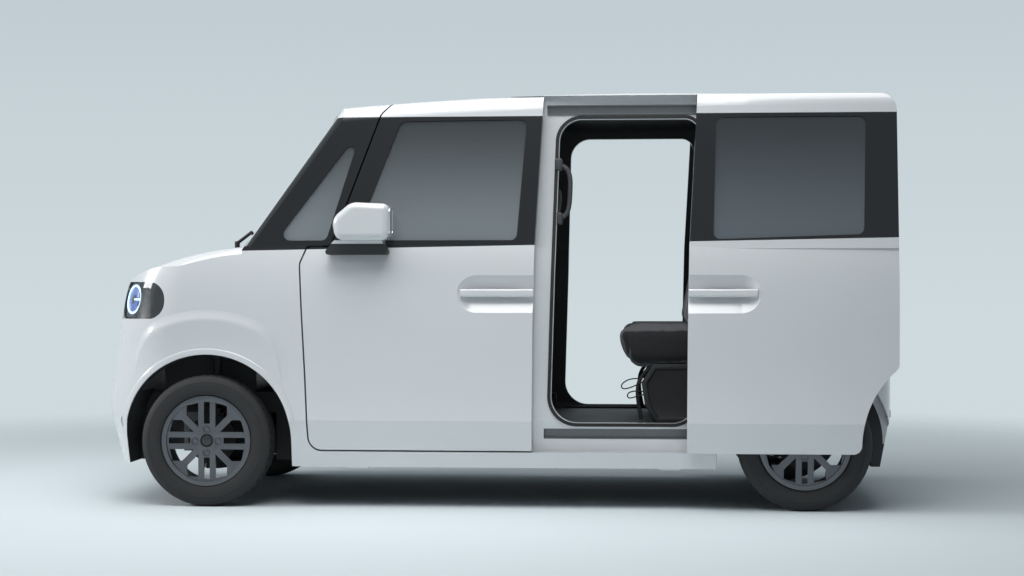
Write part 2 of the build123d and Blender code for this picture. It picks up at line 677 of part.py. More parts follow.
knuckle += block((FRONT_AXLE_X - 130, FRONT_AXLE_X), (KINGPIN_Y - 24, KINGPIN_Y - 4), (240, 262))
lower_arm = extrude(
    Pos(0, 0, KNUCKLE_Z[0] - SEAT - 22)
    * make_face(
        Polyline(
            (FRONT_AXLE_X - 30, KINGPIN_Y + 12), (FRONT_AXLE_X + 30, KINGPIN_Y + 12),
            (FRONT_AXLE_X + 120, 330), (FRONT_AXLE_X - 120, 330), close=True,
        )
    ),
    amount=22,
)
lower_arm -= pin_room
STRUT_TOP = (FRONT_AXLE_X, 470.0, 790.0)
strut = block(
    (FRONT_AXLE_X - 28, FRONT_AXLE_X + 28), (500, KINGPIN_Y + 12),
    (KNUCKLE_Z[1] + SEAT, KNUCKLE_Z[1] + SEAT + 18),
)
strut -= pin_room
strut += rod((FRONT_AXLE_X, 516, KNUCKLE_Z[1] + 12), STRUT_TOP, 22)
strut += rod((FRONT_AXLE_X, 488, 620), (FRONT_AXLE_X, 472, 770), 46)
strut -= block((1000, 1400), (0, HALF), (STRUT_TOP[2] - 10, ABOVE))

# Front frame: bulkhead, rails, subframe, aprons with strut towers, and bonnet hinge posts
front_frame = whole(shell["front_frame"])
rail = block((FIREWALL_X + 60, NOSE_X - 150), (310, 394), (380, 470))
apron = block((BULKHEAD_X + 10, FRONT_AXLE_X + 260), (380, 394), (470, 800))
tower = block((FRONT_AXLE_X - 90, FRONT_AXLE_X + 90), (394, BAY_WIDE_HALF - 20), (780, 800))
arm_seat = block((FRONT_AXLE_X - 120, FRONT_AXLE_X + 120), (300, 330), (KNUCKLE_Z[0] - 23, 380))
front_frame += both_sides(rail) + both_sides(apron) + both_sides(tower) + both_sides(arm_seat)
front_frame += block((FRONT_AXLE_X - 100, FRONT_AXLE_X + 100), (-330, 330), (150, 200))
engine_block = block((BULKHEAD_X + 75, FRONT_AXLE_X + 200), (-290, 290), (200, 780))

# Rear axle: a beam with trailing arms, springs and stub axles
rear_axle = rod((REAR_AXLE_X, -520, TYRE_R - 30), (REAR_AXLE_X, 520, TYRE_R - 30), 34)
axle_end = rod((REAR_AXLE_X, 554, TYRE_R), (REAR_AXLE_X, WHEEL_Y + DISC_OUT - 28, TYRE_R), HUB_R)
axle_end += block((REAR_AXLE_X - 55, REAR_AXLE_X + 55), (470, 566), (TYRE_R - 70, FLOOR_Z - FLOOR_THICK - 8))
axle_end += rod((REAR_AXLE_X, KINGPIN_Y + 20, TYRE_R), (REAR_AXLE_X, KINGPIN_Y + 50, TYRE_R), 112)
axle_end += block((REAR_AXLE_X, REAR_AXLE_X + 430), (430, 480), (TYRE_R - 55, TYRE_R - 5))
axle_end += block((REAR_AXLE_X + 380, REAR_AXLE_X + 430), (420, 490), (TYRE_R - 55, FLOOR_Z - FLOOR_THICK))
axle_end += rod((REAR_AXLE_X + 110, 455, TYRE_R - 30), (REAR_AXLE_X + 110, 455, FLOOR_Z - FLOOR_THICK), 48)
rear_axle += both_sides(axle_end)

# Under the floor
fuel_tank = block((-760, -160), (-300, 330), (205, FLOOR_Z - FLOOR_THICK))
fuel_tank = fillet(fuel_tank.edges().filter_by(Axis.Z), 60)
exhaust = rod((FIREWALL_X - 20, -370, 255), (-1130, -370, 255), 24)
exhaust += block((-700, -330), (-430, -315), (215, FLOOR_Z - FLOOR_THICK))

# Sliding door rails and arms on the left
rail_liners = []
for x_ends, y_ends, z_ends, depth in SLIDE_RAILS:
    liner = block(x_ends, (y_ends[0], y_ends[0] + depth), z_ends)
    groove_z = (z_ends[0] + 5, z_ends[1] - 5)
    rail_liners.append(liner - block(x_ends, (y_ends[0] + 4, y_ends[0] + depth), groove_z))
# arm: X ends, Y ends, Z ends
SLIDE_ARMS = [
    ((-940.0, -900.0), (549.0, 700.0), (1672.0, 1698.0)),
    ((-858.0, -834.0), (626.0, 790.0), (298.0, 328.0)),
    ((-1636.0, -1596.0), (704.0, 790.0), (764.0, 786.0)),
]
slide_arms = [block(*arm) - SLIDE_OPEN for arm in SLIDE_ARMS]
slide_arms = [min(arm.solids(), key=lambda solid: solid.center().Y) for arm in slide_arms]

# Mirror on the left front door: a rounded shell on a flat foot at the belt
MIRROR_Y = (748.0, 872.0)
MIRROR_ROUND = 30.0
mirror_outline = rounded(
    [(402, 1124), (398, 1276), (560, 1284), (642, 1214), (626, 1124)], [34, 30, 70, 60, 44]
)
mirror_head = side_prism(mirror_outline, *MIRROR_Y)
mirror_head = fillet(mirror_head.faces().sort_by(Axis.Y)[-1].edges(), MIRROR_ROUND)
mirror_head = fillet(mirror_head.faces().sort_by(Axis.Y)[0].edges(), MIRROR_ROUND / 2)
foot_outline = rounded([(410, 1066), (440, 1126), (640, 1126), (690, 1066)], [12, 8, 8, 12])
mirror_foot = side_prism(foot_outline, DITCH_Y, MIRROR_Y[0] + 50) - LEFT_OUTER
door_mirror = mirror_head + biggest(mirror_foot)

# Cabin
dash_profile = rounded(
    [
        (1010, 1090), (760, 1070), (640, 985), (620, 860), (700, 720),
        (800, SHELF_Z + SEAT), (1010, SHELF_Z + SEAT),
    ],
    [20, 60, 40, 40, 40, 20, 20],
)
dashboard = side_prism(dash_profile, -540, 540)
SEAT_Y = 330.0
FRONT_SEAT_X = 60.0


def front_seat():
    """A front seat: base, cushion, raked back and head restraint, on the car's middle line."""
    base = block((FRONT_SEAT_X - 220, FRONT_SEAT_X + 220), (-190, 190), (FLOOR_Z, 520))
    cushion = block((FRONT_SEAT_X - 250, FRONT_SEAT_X + 260), (-225, 225), (520, 690))
    cushion = fillet(cushion.edges().filter_by(Axis.Y), 40)
    back = side_prism(
        rounded(
            [(-130, 600), (-20, 600), (-120, 1230), (-220, 1230)], [40, 40, 40, 40]
        ), -222, 222,
    )
    head = side_prism(rounded([(-250, 1245), (-160, 1245), (-185, 1420), (-265, 1420)], [30] * 4), -130, 130)
    stalk = [rod((-190, y, 1200), (-205, y, 1300), 8) for y in (-60, 60)]
    return base + cushion + back + head + stalk


seat = front_seat()
rear_base = block((-1000, -650), (-470, 470), (FLOOR_Z, 590))
rear_cushion = fillet(block((-1020, -512), (-500, 500), (590, 765)).edges().filter_by(Axis.Y), 45)
rear_back = side_prism(
    rounded([(-960, 700), (-800, 765), (-905, 1230), (-1040, 1230)], [40] * 4), -500, 500
)
rear_seat = rear_base + rear_cushion + rear_back
rear_head = rounded([(-1050, 1245), (-960, 1245), (-985, 1400), (-1060, 1400)], [28] * 4)
rear_seat += [side_prism(rear_head, y - 120, y + 120) for y in (-250, 250)]
rear_seat += [rod((-1000, y, 1200), (-1015, y, 1300), 8) for y in (-310, -190, 190, 310)]

STEER_Y = -330.0
STEER_RAKE = 28.0
steer_place = Pos(520, STEER_Y, 985) * Rot(0, -90 + STEER_RAKE, 0)
steering_wheel = Torus(178, 14) + Cylinder(60, 40) + Box(60, 350, 16) + Pos(90, 0, 0) * Box(180, 40, 16)
steering_wheel = steer_place * steering_wheel
steering_column = steer_place * Pos(0, 0, -20 - SEAT - 75) * Cylinder(32, 150) - dashboard

# Wipers: a post on the cowl, an arm and a blade that lies along the windscreen's foot
WIPER_POSTS_Y = (40.0, 540.0)
WIPER_REACH = 500.0


def screen_x(y, z):
    """Where the windscreen's outer surface is, ahead of the origin."""
    return SCREEN_BASE_X - (z - BELT_Z) * SCREEN_LEAN - SCREEN_BOW * (y / (HALF - 26)) ** 2


def wiper(post_y):
    """One wiper, parked: its blade runs towards the car's right."""
    blade_z = BELT_Z + 62
    tip_y = post_y - WIPER_REACH
    post_x = screen_x(post_y, BELT_Z) + 30
    knee = (screen_x(post_y, blade_z) + 12, post_y, blade_z)
    tip = (screen_x(tip_y, blade_z) + 12, tip_y, blade_z)
    middle_y = (post_y + tip_y) / 2
    middle = (screen_x(middle_y, blade_z) + 14, middle_y, blade_z)
    post = rod((post_x, post_y, BELT_Z - 30), (post_x, post_y, BELT_Z + 24), 11)
    arm = rod((post_x, post_y, BELT_Z + 16), knee, 7)
    blade = rod(knee, middle, 6) + rod(middle, tip, 6) + Pos(*middle) * Sphere(7)
    return post + arm + blade + Pos(*knee) * Sphere(8)


cowl_panel = whole(shell["cowl_panel"])
wiper_pair = [biggest(wiper(y) - cowl_panel) for y in WIPER_POSTS_Y]

# Every node
os.makedirs("parts", exist_ok=True)
write_pair("body_side", body_side)
write("roof_panel", whole(shell["roof_panel"]))
write("floor_pan", whole(shell["floor_pan"]))
write_pair("front_fender", shell["front_fender"])
write("front_bumper", whole(shell["front_bumper"] - intake + slat))
write("front_grille", whole(shell["front_grille"] - grille_slots))
write("headlamps", *both_sides(shell["headlamp"]))
write("cowl_panel", cowl_panel)
write("rear_bumper", whole(shell["rear_bumper"]))
write("tail_lamps", *both_sides(shell["tail_lamp"]))
write("bonnet", BONNET)
write("tailgate", TAILGATE)
write("tailgate_glass", tailgate_glass)
write("windshield", windshield)
write_pair("front_door", FRONT_DOOR)
write_pair("front_door_glass", front_door_glass)
write_pair("door_mirror", door_mirror)
write_pair("slide_door", SLIDE_OPEN)
write("slide_door_glass", *both_sides(slide_door_glass))
write("fixed_side_glass", *both_sides(fixed_glass))
write("weather_seals", *both_sides(front_seal), *both_sides(slide_seal), tail_seal, bonnet_seal)
write("slide_rails", *[part for liner in rail_liners for part in both_sides(liner)])
write("slide_arms", *[part for arm in slide_arms for part in both_sides(arm)])
wheel_rim, wheel_tyre = rim(), tyre()
for corner, x, y, turn in WHEELS:
    place = Pos(x, y, TYRE_R) * Rot(turn, 0, 0)
    write(f"rim_{corner}", place * wheel_rim)
    write(f"tyre_{corner}", place * wheel_tyre)
write_pair("knuckle", knuckle)
write("front_suspension", *both_sides(lower_arm), *both_sides(strut))
write("front_frame", front_frame)
write("engine_block", engine_block)
write("rear_axle", rear_axle)
write("fuel_tank", fuel_tank)
write("exhaust", exhaust)
write("dashboard", dashboard)
write("front_seats", Pos(0, SEAT_Y, 0) * seat, Pos(0, -SEAT_Y, 0) * seat)
write("rear_seat", rear_seat)
write("steering_wheel", steering_wheel)
write("steering_column", steering_column)
write("wipers", *wiper_pair)
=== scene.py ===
"""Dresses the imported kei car: paint, glass, lamps, tyres, seats and trim, in a plain studio."""

from __future__ import annotations

import json
import logging
import math
from dataclasses import dataclass, field
from enum import Enum
from typing import Callable, Protocol, Sequence, Union

import bmesh
import bpy
from mathutils import Matrix, Vector

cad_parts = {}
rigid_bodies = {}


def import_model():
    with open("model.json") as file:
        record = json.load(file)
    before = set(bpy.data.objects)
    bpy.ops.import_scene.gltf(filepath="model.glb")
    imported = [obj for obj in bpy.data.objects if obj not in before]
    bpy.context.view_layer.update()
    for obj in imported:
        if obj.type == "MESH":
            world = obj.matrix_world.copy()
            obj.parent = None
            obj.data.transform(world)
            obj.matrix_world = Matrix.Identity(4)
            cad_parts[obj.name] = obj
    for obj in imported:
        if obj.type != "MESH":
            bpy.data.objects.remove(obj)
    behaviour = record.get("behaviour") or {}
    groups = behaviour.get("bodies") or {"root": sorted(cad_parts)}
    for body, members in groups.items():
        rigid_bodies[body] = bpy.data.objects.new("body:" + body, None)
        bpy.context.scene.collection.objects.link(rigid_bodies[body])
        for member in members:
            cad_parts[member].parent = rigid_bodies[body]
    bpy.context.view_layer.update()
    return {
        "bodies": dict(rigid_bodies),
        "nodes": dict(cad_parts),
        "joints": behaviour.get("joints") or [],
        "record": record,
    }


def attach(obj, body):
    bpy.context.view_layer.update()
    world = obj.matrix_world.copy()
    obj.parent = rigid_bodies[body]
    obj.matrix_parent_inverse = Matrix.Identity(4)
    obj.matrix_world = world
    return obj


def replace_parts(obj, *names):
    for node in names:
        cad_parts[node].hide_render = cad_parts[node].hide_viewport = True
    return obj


LOG = logging.getLogger("kei_car")
Colour = tuple[float, float, float]
Point = tuple[float, float, float]
Test = Callable[[Vector, Vector], bool]
Piece = bpy.types.Object
Finish = bpy.types.Material
# the wheels' centres
FRONT_X, REAR_X, AXLE_Z = 1.2015, -1.3185, 0.2785
# doubles closer than this are one point
MERGE = 0.00002
# the clear part of a headlamp's lens: X, Y, Z and radius
LAMP_WINDOW = (1.550, 0.590, 0.878, 0.088)
# a face or an edge points along an axis when its direction's part on it is larger
ALONG = 0.9
# edges sharper than this many degrees stay sharp: on hard pieces, on soft ones
HARD, SOFT = 35.0, 60.0
# mirrors a piece to the car's other side
ACROSS = Matrix.Scale(-1.0, 4, (0.0, 1.0, 0.0))


def points_to(way: str) -> Test:
    """A test for faces or edges that point along an axis.

    Args:
        way: The axis after its sign, as in "+x" or "-z", or alone for both ways.

    Returns:
        The test.
    """
    axis = "xyz".index(way[-1])
    if len(way) == 1:
        return lambda middle, normal: abs(normal[axis]) > ALONG
    sign = -1.0 if way[0] == "-" else 1.0
    return lambda middle, normal: normal[axis] * sign > ALONG


def scaled(colour: Colour, share: float, more: float = 0.0) -> Colour:
    """A lighter or darker colour."""
    return tuple(c * share + more for c in colour)


class Side(Enum):
    """The two sides of the car, as the sign of Y."""

    LEFT = 1
    RIGHT = -1

    @property
    def word(self) -> str:
        """The side's name as it ends a node's name."""
        return self.name.lower()


class Corner(Enum):
    """The four wheels, as the ends of their nodes' names."""

    FRONT_LEFT = "front_left"
    FRONT_RIGHT = "front_right"
    REAR_LEFT = "rear_left"
    REAR_RIGHT = "rear_right"

    @property
    def at_front(self) -> bool:
        """Whether the wheel steers."""
        return self.value.startswith("front")

    @property
    def at_left(self) -> bool:
        """Whether the wheel is on the car's left."""
        return self.value.endswith("left")

    @property
    def sign(self) -> int:
        """The sign of the wheel's Y."""
        return 1 if self.at_left else -1


class Socket:
    """A node's output that can be used in a Python expression."""

    def __init__(self, graph: Graph, output: bpy.types.NodeSocket) -> None:
        """Wraps an output of a graph."""
        self.graph = graph
        self.output = output

    def _math(self, operation: str, first: Value, second: Value = 0.0) -> Socket:
        """Adds one Math node and returns its value."""
        return self.graph.node("ShaderNodeMath", {"operation": operation}, {0: first, 1: second})

    def __add__(self, other: Value) -> Socket:
        """Sum."""
        return self._math("ADD", self, other)

    __radd__ = __add__

    def __mul__(self, other: Value) -> Socket:
        """Product."""
        return self._math("MULTIPLY", self, other)

    __rmul__ = __mul__

    def __sub__(self, other: Value) -> Socket:
        """Difference."""
        return self._math("SUBTRACT", self, other)

    def __rsub__(self, other: Value) -> Socket:
        """Difference from a number."""
        return self._math("SUBTRACT", other, self)

    def __truediv__(self, other: Value) -> Socket:
        """Quotient."""
        return self._math("DIVIDE", self, other)

    def __gt__(self, other: Value) -> Socket:
        """1 where this is greater, else 0."""
        return self._math("GREATER_THAN", self, other)

    def __lt__(self, other: Value) -> Socket:
        """1 where this is less, else 0."""
        return self._math("LESS_THAN", self, other)

    def __abs__(self) -> Socket:
        """Size without sign."""
        return self._math("ABSOLUTE", self)

    def __pow__(self, other: Value) -> Socket:
        """Power."""
        return self._math("POWER", self, other)

    def most(self, other: Value) -> Socket:
        """The larger of two values."""
        return self._math("MAXIMUM", self, other)

    def least(self, other: Value) -> Socket:
        """The smaller of two values."""
        return self._math("MINIMUM", self, other)

    def step(self, low: float, high: float) -> Socket:
        """A smooth rise from 0 at low to 1 at high."""
        settings = {"interpolation_type": "SMOOTHSTEP"}
        return self.graph.node("ShaderNodeMapRange", settings, {0: self, 1: low, 2: high, 3: 0.0, 4: 1.0})


Value = Union[Socket, float]


class Graph:
    """The nodes of a material, with its Principled shader, or of the world, with its background."""

    def __init__(self, name: str, world: bool = False) -> None:
        """Makes an empty material, or an empty world, of that name."""
        self.owner = (bpy.data.worlds if world else bpy.data.materials).new(name)
        self.owner.use_nodes = True
        self.tree = self.owner.node_tree
        self.tree.nodes.clear()
        end = self.tree.nodes.new("ShaderNodeOutputWorld" if world else "ShaderNodeOutputMaterial")
        self.shader = self.tree.nodes.new("ShaderNodeBackground" if world else "ShaderNodeBsdfPrincipled")
        self.tree.links.new(self.shader.outputs[0], end.inputs["Surface"])

    def node(
        self, kind: str, settings: dict | None = None, inputs: dict | None = None, output: int | str = 0
    ) -> Socket:
        """Adds a node.

        Args:
            kind: The node's type.
            settings: Its properties, set first.
            inputs: Values or links for its sockets, by number or name.
            output: The output to use.

        Returns:
            The wrapped output.
        """
        made = self.tree.nodes.new(kind)
        for key, value in (settings or {}).items():
            if key == "stops":
                self.ramp(made, value)
            else:
                setattr(made, key, value)
        for key, value in (inputs or {}).items():
            self.link(value, made.inputs[key])
        return Socket(self, made.outputs[output])

    @staticmethod
    def ramp(made: bpy.types.Node, stops: Sequence[tuple[float, Colour]]) -> None:
        """Sets a colour ramp's stops."""
        elements = made.color_ramp.elements
        while len(elements) < len(stops):
            elements.new(0.5)
        for element, (place, colour) in zip(elements, stops):
            element.position = place
            element.color = (*colour, 1.0)

    def link(self, value: Value | Colour, target: bpy.types.NodeSocket) -> None:
        """Links a socket, or sets a plain value."""
        if isinstance(value, Socket):
            self.tree.links.new(value.output, target)
        elif isinstance(value, tuple) and len(value) == 3 and target.type == "RGBA":
            target.default_value = (*value, 1.0)
        else:
            target.default_value = value

    def set(self, **inputs: Value | Colour) -> None:
        """Sets the shader's sockets, with _ for a space in their names."""
        for key, value in inputs.items():
            self.link(value, self.shader.inputs[key.replace("_", " ")])

    def axes(self, kind: str = "Object") -> tuple[Socket, Socket, Socket]:
        """The X, Y and Z of one kind of coordinates, by default the object's, in metres."""
        place = self.node("ShaderNodeTexCoord", output=kind)
        outputs = self.node("ShaderNodeSeparateXYZ", inputs={0: place}).output.node.outputs
        return tuple(Socket(self, outputs[i]) for i in range(3))

    def facing(self) -> tuple[Socket, Socket, Socket]:
        """The surface normal's X, Y and Z, on the object's own axes."""
        return self.axes("Normal")

    def sine(self, value: Socket) -> Socket:
        """A wave of a value in radians."""
        return self.node("ShaderNodeMath", {"operation": "SINE"}, {0: value})

    def noise(self, scale: float, detail: float = 3.0, roughness: float = 0.55) -> Socket:
        """A noise value from 0 to 1."""
        place = self.node("ShaderNodeTexCoord", output="Object")
        inputs = {"Vector": place, "Scale": scale, "Detail": detail, "Roughness": roughness}
        return self.node("ShaderNodeTexNoise", inputs=inputs)

    def mix(self, factor: Value, first: Socket | Colour, second: Socket | Colour) -> Socket:
        """A colour between two colours."""
        return self.node("ShaderNodeMix", {"data_type": "RGBA"}, {0: factor, 6: first, 7: second}, 2)

    def bump(self, height: Value, strength: float, distance: float) -> None:
        """Bumps the surface by a height."""
        inputs = {"Strength": strength, "Distance": distance, "Height": height}
        self.set(Normal=self.node("ShaderNodeBump", inputs=inputs))


class Cover(Enum):
    """What a painted node carries besides its paint."""

    PLAIN = "plain"
    SIDE = "side"
    DOOR = "door"
    ROOF = "roof"
    MIRROR = "mirror"


@dataclass(frozen=True)
class Paint:
    """Pearl white paint under a clear coat, with a fine flake and a faint peel.

    Masks set off what isn't painted: the gloss black window band between belt and roof rail,
    the liners in the wheel arches, and the dark trim on the faces that look into the cabin.
    """

    name: str
    cover: Cover = Cover.PLAIN
    colour: Colour = (0.74, 0.755, 0.77)
    shade: Colour = (0.66, 0.68, 0.70)
    black: Colour = (0.009, 0.009, 0.010)
    trim: Colour = (0.016, 0.016, 0.017)
    belt: tuple[float, float] = (1.104, 1.655)
    belt_rise: float = -0.018
    pillar_foot: tuple[float, float] = (1.046, 1.096)
    pillar_lean: float = 0.69
    side_y: float = 0.50
    arch_radius: float = 0.3662
    skirt_z: float = 0.0
    inner_y: float = 0.650
    shoulder: float = 0.026
    shoulder_z: float = 0.97
    cabin_x: tuple[float, float] = (-1.50, 1.03)
    cabin_z: float = 0.30
    cabin_lean: float = 0.137
    plan_bow: float = 0.0080
    foot_z: float = 1.1120
    slide_x: tuple[float, float] = (-1.066, -0.150)
    edge: float = 0.0006
    side_edge: float = 0.002
    peel: float = 0.02
    # a face is lining when its normal's inward part, or on the roof its downward part, is larger
    lining: float = 0.45
    ceiling: float = 0.3

    def build(self) -> Finish:
        """Makes the material."""
        graph = Graph(self.name)
        flake = graph.noise(900.0, 2.0)
        cloud = graph.noise(3.0, 2.0)
        colour = graph.mix(cloud * 0.25 + flake * 0.10, self.colour, self.shade)
        gloss: Value = flake * 0.06 + 0.20
        coat: Value = 1.0
        band, trim = self._masks(graph)
        if band is not None:
            colour = graph.mix(band, colour, self.black)
            coat = 1.0 - band
        if trim is not None:
            grain = graph.mix(graph.noise(420.0, 2.0), self.trim, scaled(self.trim, 1.8))
            colour = graph.mix(trim, colour, grain)
            gloss = gloss + trim * 0.38
            coat = (coat - trim).most(0.0) if isinstance(coat, Socket) else 1.0 - trim
        graph.set(Base_Color=colour, Roughness=gloss, Metallic=0.0, Coat_Weight=coat, Coat_Roughness=0.03)
        graph.bump(graph.noise(140.0, 2.0), self.peel, 0.0006)
        return graph.owner

    def _masks(self, graph: Graph) -> tuple[Socket | None, Socket | None]:
        """The gloss black mask and the grained trim mask of this cover, or None for each."""
        if self.cover is Cover.PLAIN:
            return None, None
        x, y, z = graph.axes()
        if self.cover is Cover.MIRROR:
            return None, (z - self.foot_z).step(self.edge, -self.edge)
        facing = graph.facing()
        if self.cover is Cover.ROOF:
            return None, facing[2] < -self.ceiling
        side = graph.node("ShaderNodeMath", {"operation": "SIGN"}, {0: y})
        inward = (facing[1] * side) < -self.lining
        band = self._band(x, y, z) * (1.0 - inward)
        if self.cover is Cover.DOOR:
            return band, inward
        band = band * (1.0 - (x > self.slide_x[0]) * (x < self.slide_x[1]))
        shoulder = z.step(self.shoulder_z, self.belt[0]) * self.shoulder
        wall = self.inner_y - shoulder - (z - self.belt[0]).most(0.0) * self.cabin_lean
        inner = (abs(y) < wall - x * x * self.plan_bow) * (x < self.cabin_x[1])
        inner = inner * (x > self.cabin_x[0]) * (z > self.cabin_z)
        return band, self._arches(x, z).most(inward).most(inner).most(z < self.skirt_z).least(1.0)

    def _band(self, x: Socket, y: Socket, z: Socket) -> Socket:
        """The mask of the window band on the car's sides."""
        belt = x * self.belt_rise + self.belt[0]
        above = (z - belt).step(-self.edge, self.edge)
        below = (z - self.belt[1]).step(self.edge, -self.edge)
        pillar = x + (z - self.pillar_foot[1]) * self.pillar_lean
        behind = (pillar - self.pillar_foot[0]).step(self.edge, -self.edge)
        outside = (abs(y) - self.side_y).step(-self.side_edge, self.side_edge)
        return above * below * behind * outside

    def _arches(self, x: Socket, z: Socket) -> Socket:
        """The mask of the four wheel arches' insides."""
        masks = []
        for axle in (FRONT_X, REAR_X):
            along, up = x - axle, z - AXLE_Z
            near = (along * along + up * up) < self.arch_radius ** 2
            under = (abs(along) < self.arch_radius) * (up < 0.0)
            masks.append(near.most(under))
        return masks[0].most(masks[1])


@dataclass(frozen=True)
class Plastic:
    """Moulded plastic or rubber: one colour, a fine grain and scuffs that change its gloss."""

    name: str
    colour: Colour
    roughness: float = 0.5
    grain: float = 0.15
    grain_scale: float = 700.0
    metallic: float = 0.0
    coat: float = 0.0

    def build(self) -> Finish:
        """Makes the material."""
        graph = Graph(self.name)
        cloud = graph.noise(9.0, 3.0)
        lighter = scaled(self.colour, 1.3, 0.004)
        graph.set(Base_Color=graph.mix(cloud * 0.7, self.colour, lighter))
        graph.set(Roughness=cloud * 0.16 + (self.roughness - 0.08), Metallic=self.metallic)
        graph.set(Coat_Weight=self.coat, Coat_Roughness=0.08)
        graph.bump(graph.noise(self.grain_scale, 2.0), self.grain, 0.0006)
        return graph.owner


@dataclass(frozen=True)
class WheelPaint:
    """Dark metallic wheel paint on the face, and painted shade behind it: the barrel and the spokes' sides
    are painted near black, as they lie in shade.
    """

    name: str
    face: Colour = (0.105, 0.110, 0.120)
    # painted shade: the near black colour of everything behind the face
    behind: Colour = (0.010, 0.010, 0.011)
    face_y: tuple[float, float] = (0.6870, 0.6920)

    def build(self) -> Finish:
        """Makes the material."""
        graph = Graph(self.name)
        outer = abs(graph.axes()[1]).step(*self.face_y)
        flake = graph.noise(1500.0, 2.0)
        bright = scaled(self.face, 1.25)
        # painted shade: behind its face the wheel takes the near black colour
        graph.set(Base_Color=graph.mix(outer, self.behind, graph.mix(flake, self.face, bright)))
        graph.set(Roughness=flake * 0.10 + 0.26, Metallic=outer * 0.8, Coat_Weight=0.4, Coat_Roughness=0.08)
        graph.bump(graph.noise(500.0, 2.0), 0.02, 0.0004)
        return graph.owner


@dataclass(frozen=True)
class Glass:
    """Tinted safety glass, seen through, with a painted reflection of the studio: the pale colour and clearer
    alpha low on the pane give way to the dark tint, deepest along its top edge.
    """

    name: str
    tint: Colour
    pale: Colour
    clear_low: float
    clear_top: float
    span: tuple[float, float] = (1.12, 1.66)

    def build(self) -> Finish:
        """Makes the material."""
        graph = Graph(self.name)
        rise = graph.axes()[2].step(*self.span)
        dust = graph.noise(5.0, 3.0)
        # painted reflection: the pale colour low on the pane fades into the tint towards the top, and the
        # alpha keeps the pane mostly opaque so it shows
        graph.set(Base_Color=graph.mix(rise, self.pale, self.tint), Roughness=dust * 0.02 + 0.02)
        graph.set(Coat_Weight=1.0, Coat_Roughness=0.02)
        graph.set(Alpha=dust * 0.03 + rise * (self.clear_low - self.clear_top) + (1.0 - self.clear_low))
        return graph.owner


@dataclass(frozen=True)
class Cloth:
    """Woven seat cloth with a fine warp and weft, darker on the faces that look to a pad's two sides."""

    name: str
    colour: Colour
    side: Colour
    pitch: float = 0.0022

    def build(self) -> Finish:
        """Makes the material."""
        graph = Graph(self.name)
        x, y, z = graph.axes()
        turns = 2.0 * math.pi / self.pitch
        warp = graph.sine(y * turns)
        weft = graph.sine((x + z) * turns)
        weave = warp * weft * 0.5 + 0.5
        fibre = graph.noise(60.0, 4.0)
        lighter = scaled(self.colour, 1.7, 0.01)
        woven = graph.mix(weave * 0.55 + fibre * 0.35, self.colour, lighter)
        flank = abs(graph.facing()[1]).step(0.62, 0.72)
        graph.set(Base_Color=graph.mix(flank, woven, self.side))
        graph.set(Roughness=fibre * 0.1 + 0.85, Sheen_Weight=0.25)
        graph.bump(weave, 0.35, 0.0008)
        return graph.owner


@dataclass(frozen=True)
class Lamp:
    """A lamp's lens: tinted, ribbed and glossy."""

    name: str
    colour: Colour
    alpha: float
    ribs: float = 0.0
    rib_turns: float = 1400.0
    window: tuple[float, float, float, float] | None = None

    def build(self) -> Finish:
        """Makes the material."""
        graph = Graph(self.name)
        x, y, z = graph.axes()
        wave = graph.sine(z * self.rib_turns)
        cloud = graph.noise(14.0, 2.0)
        darker = scaled(self.colour, 0.7)
        graph.set(Base_Color=graph.mix(cloud, self.colour, darker), Roughness=cloud * 0.04 + 0.04)
        alpha: Value = cloud * 0.03 + self.alpha
        if self.window:
            at_x, at_y, at_z, radius = self.window
            away = ((x - at_x) ** 2.0 + (abs(y) - at_y) ** 2.0 + (z - at_z) ** 2.0) ** 0.5
            alpha = away.step(radius - 0.002, radius + 0.002) * (0.96 - self.alpha) + self.alpha
        graph.set(Alpha=alpha, Coat_Weight=1.0, Coat_Roughness=0.02)
        graph.bump(wave, self.ribs, 0.002)
        return graph.owner


@dataclass(frozen=True)
class Glow:
    """A lit strip of a lamp."""

    name: str
    colour: Colour
    strength: float

    def build(self) -> Finish:
        """Makes the material."""
        graph = Graph(self.name)
        cloud = graph.noise(40.0, 2.0)
        paler = scaled(self.colour, 0.5, 0.5)
        glow = graph.mix(cloud * 0.4, self.colour, paler)
        graph.set(Base_Color=glow, Emission_Color=glow, Emission_Strength=self.strength, Roughness=0.2)
        return graph.owner


class Look(Protocol):
    """What a finish has: a way to make its material."""

    def build(self) -> Finish:
        """Makes the material."""


def made(look: Look) -> Finish:
    """A dataclass field that holds a finish's material."""
    return field(default_factory=look.build)


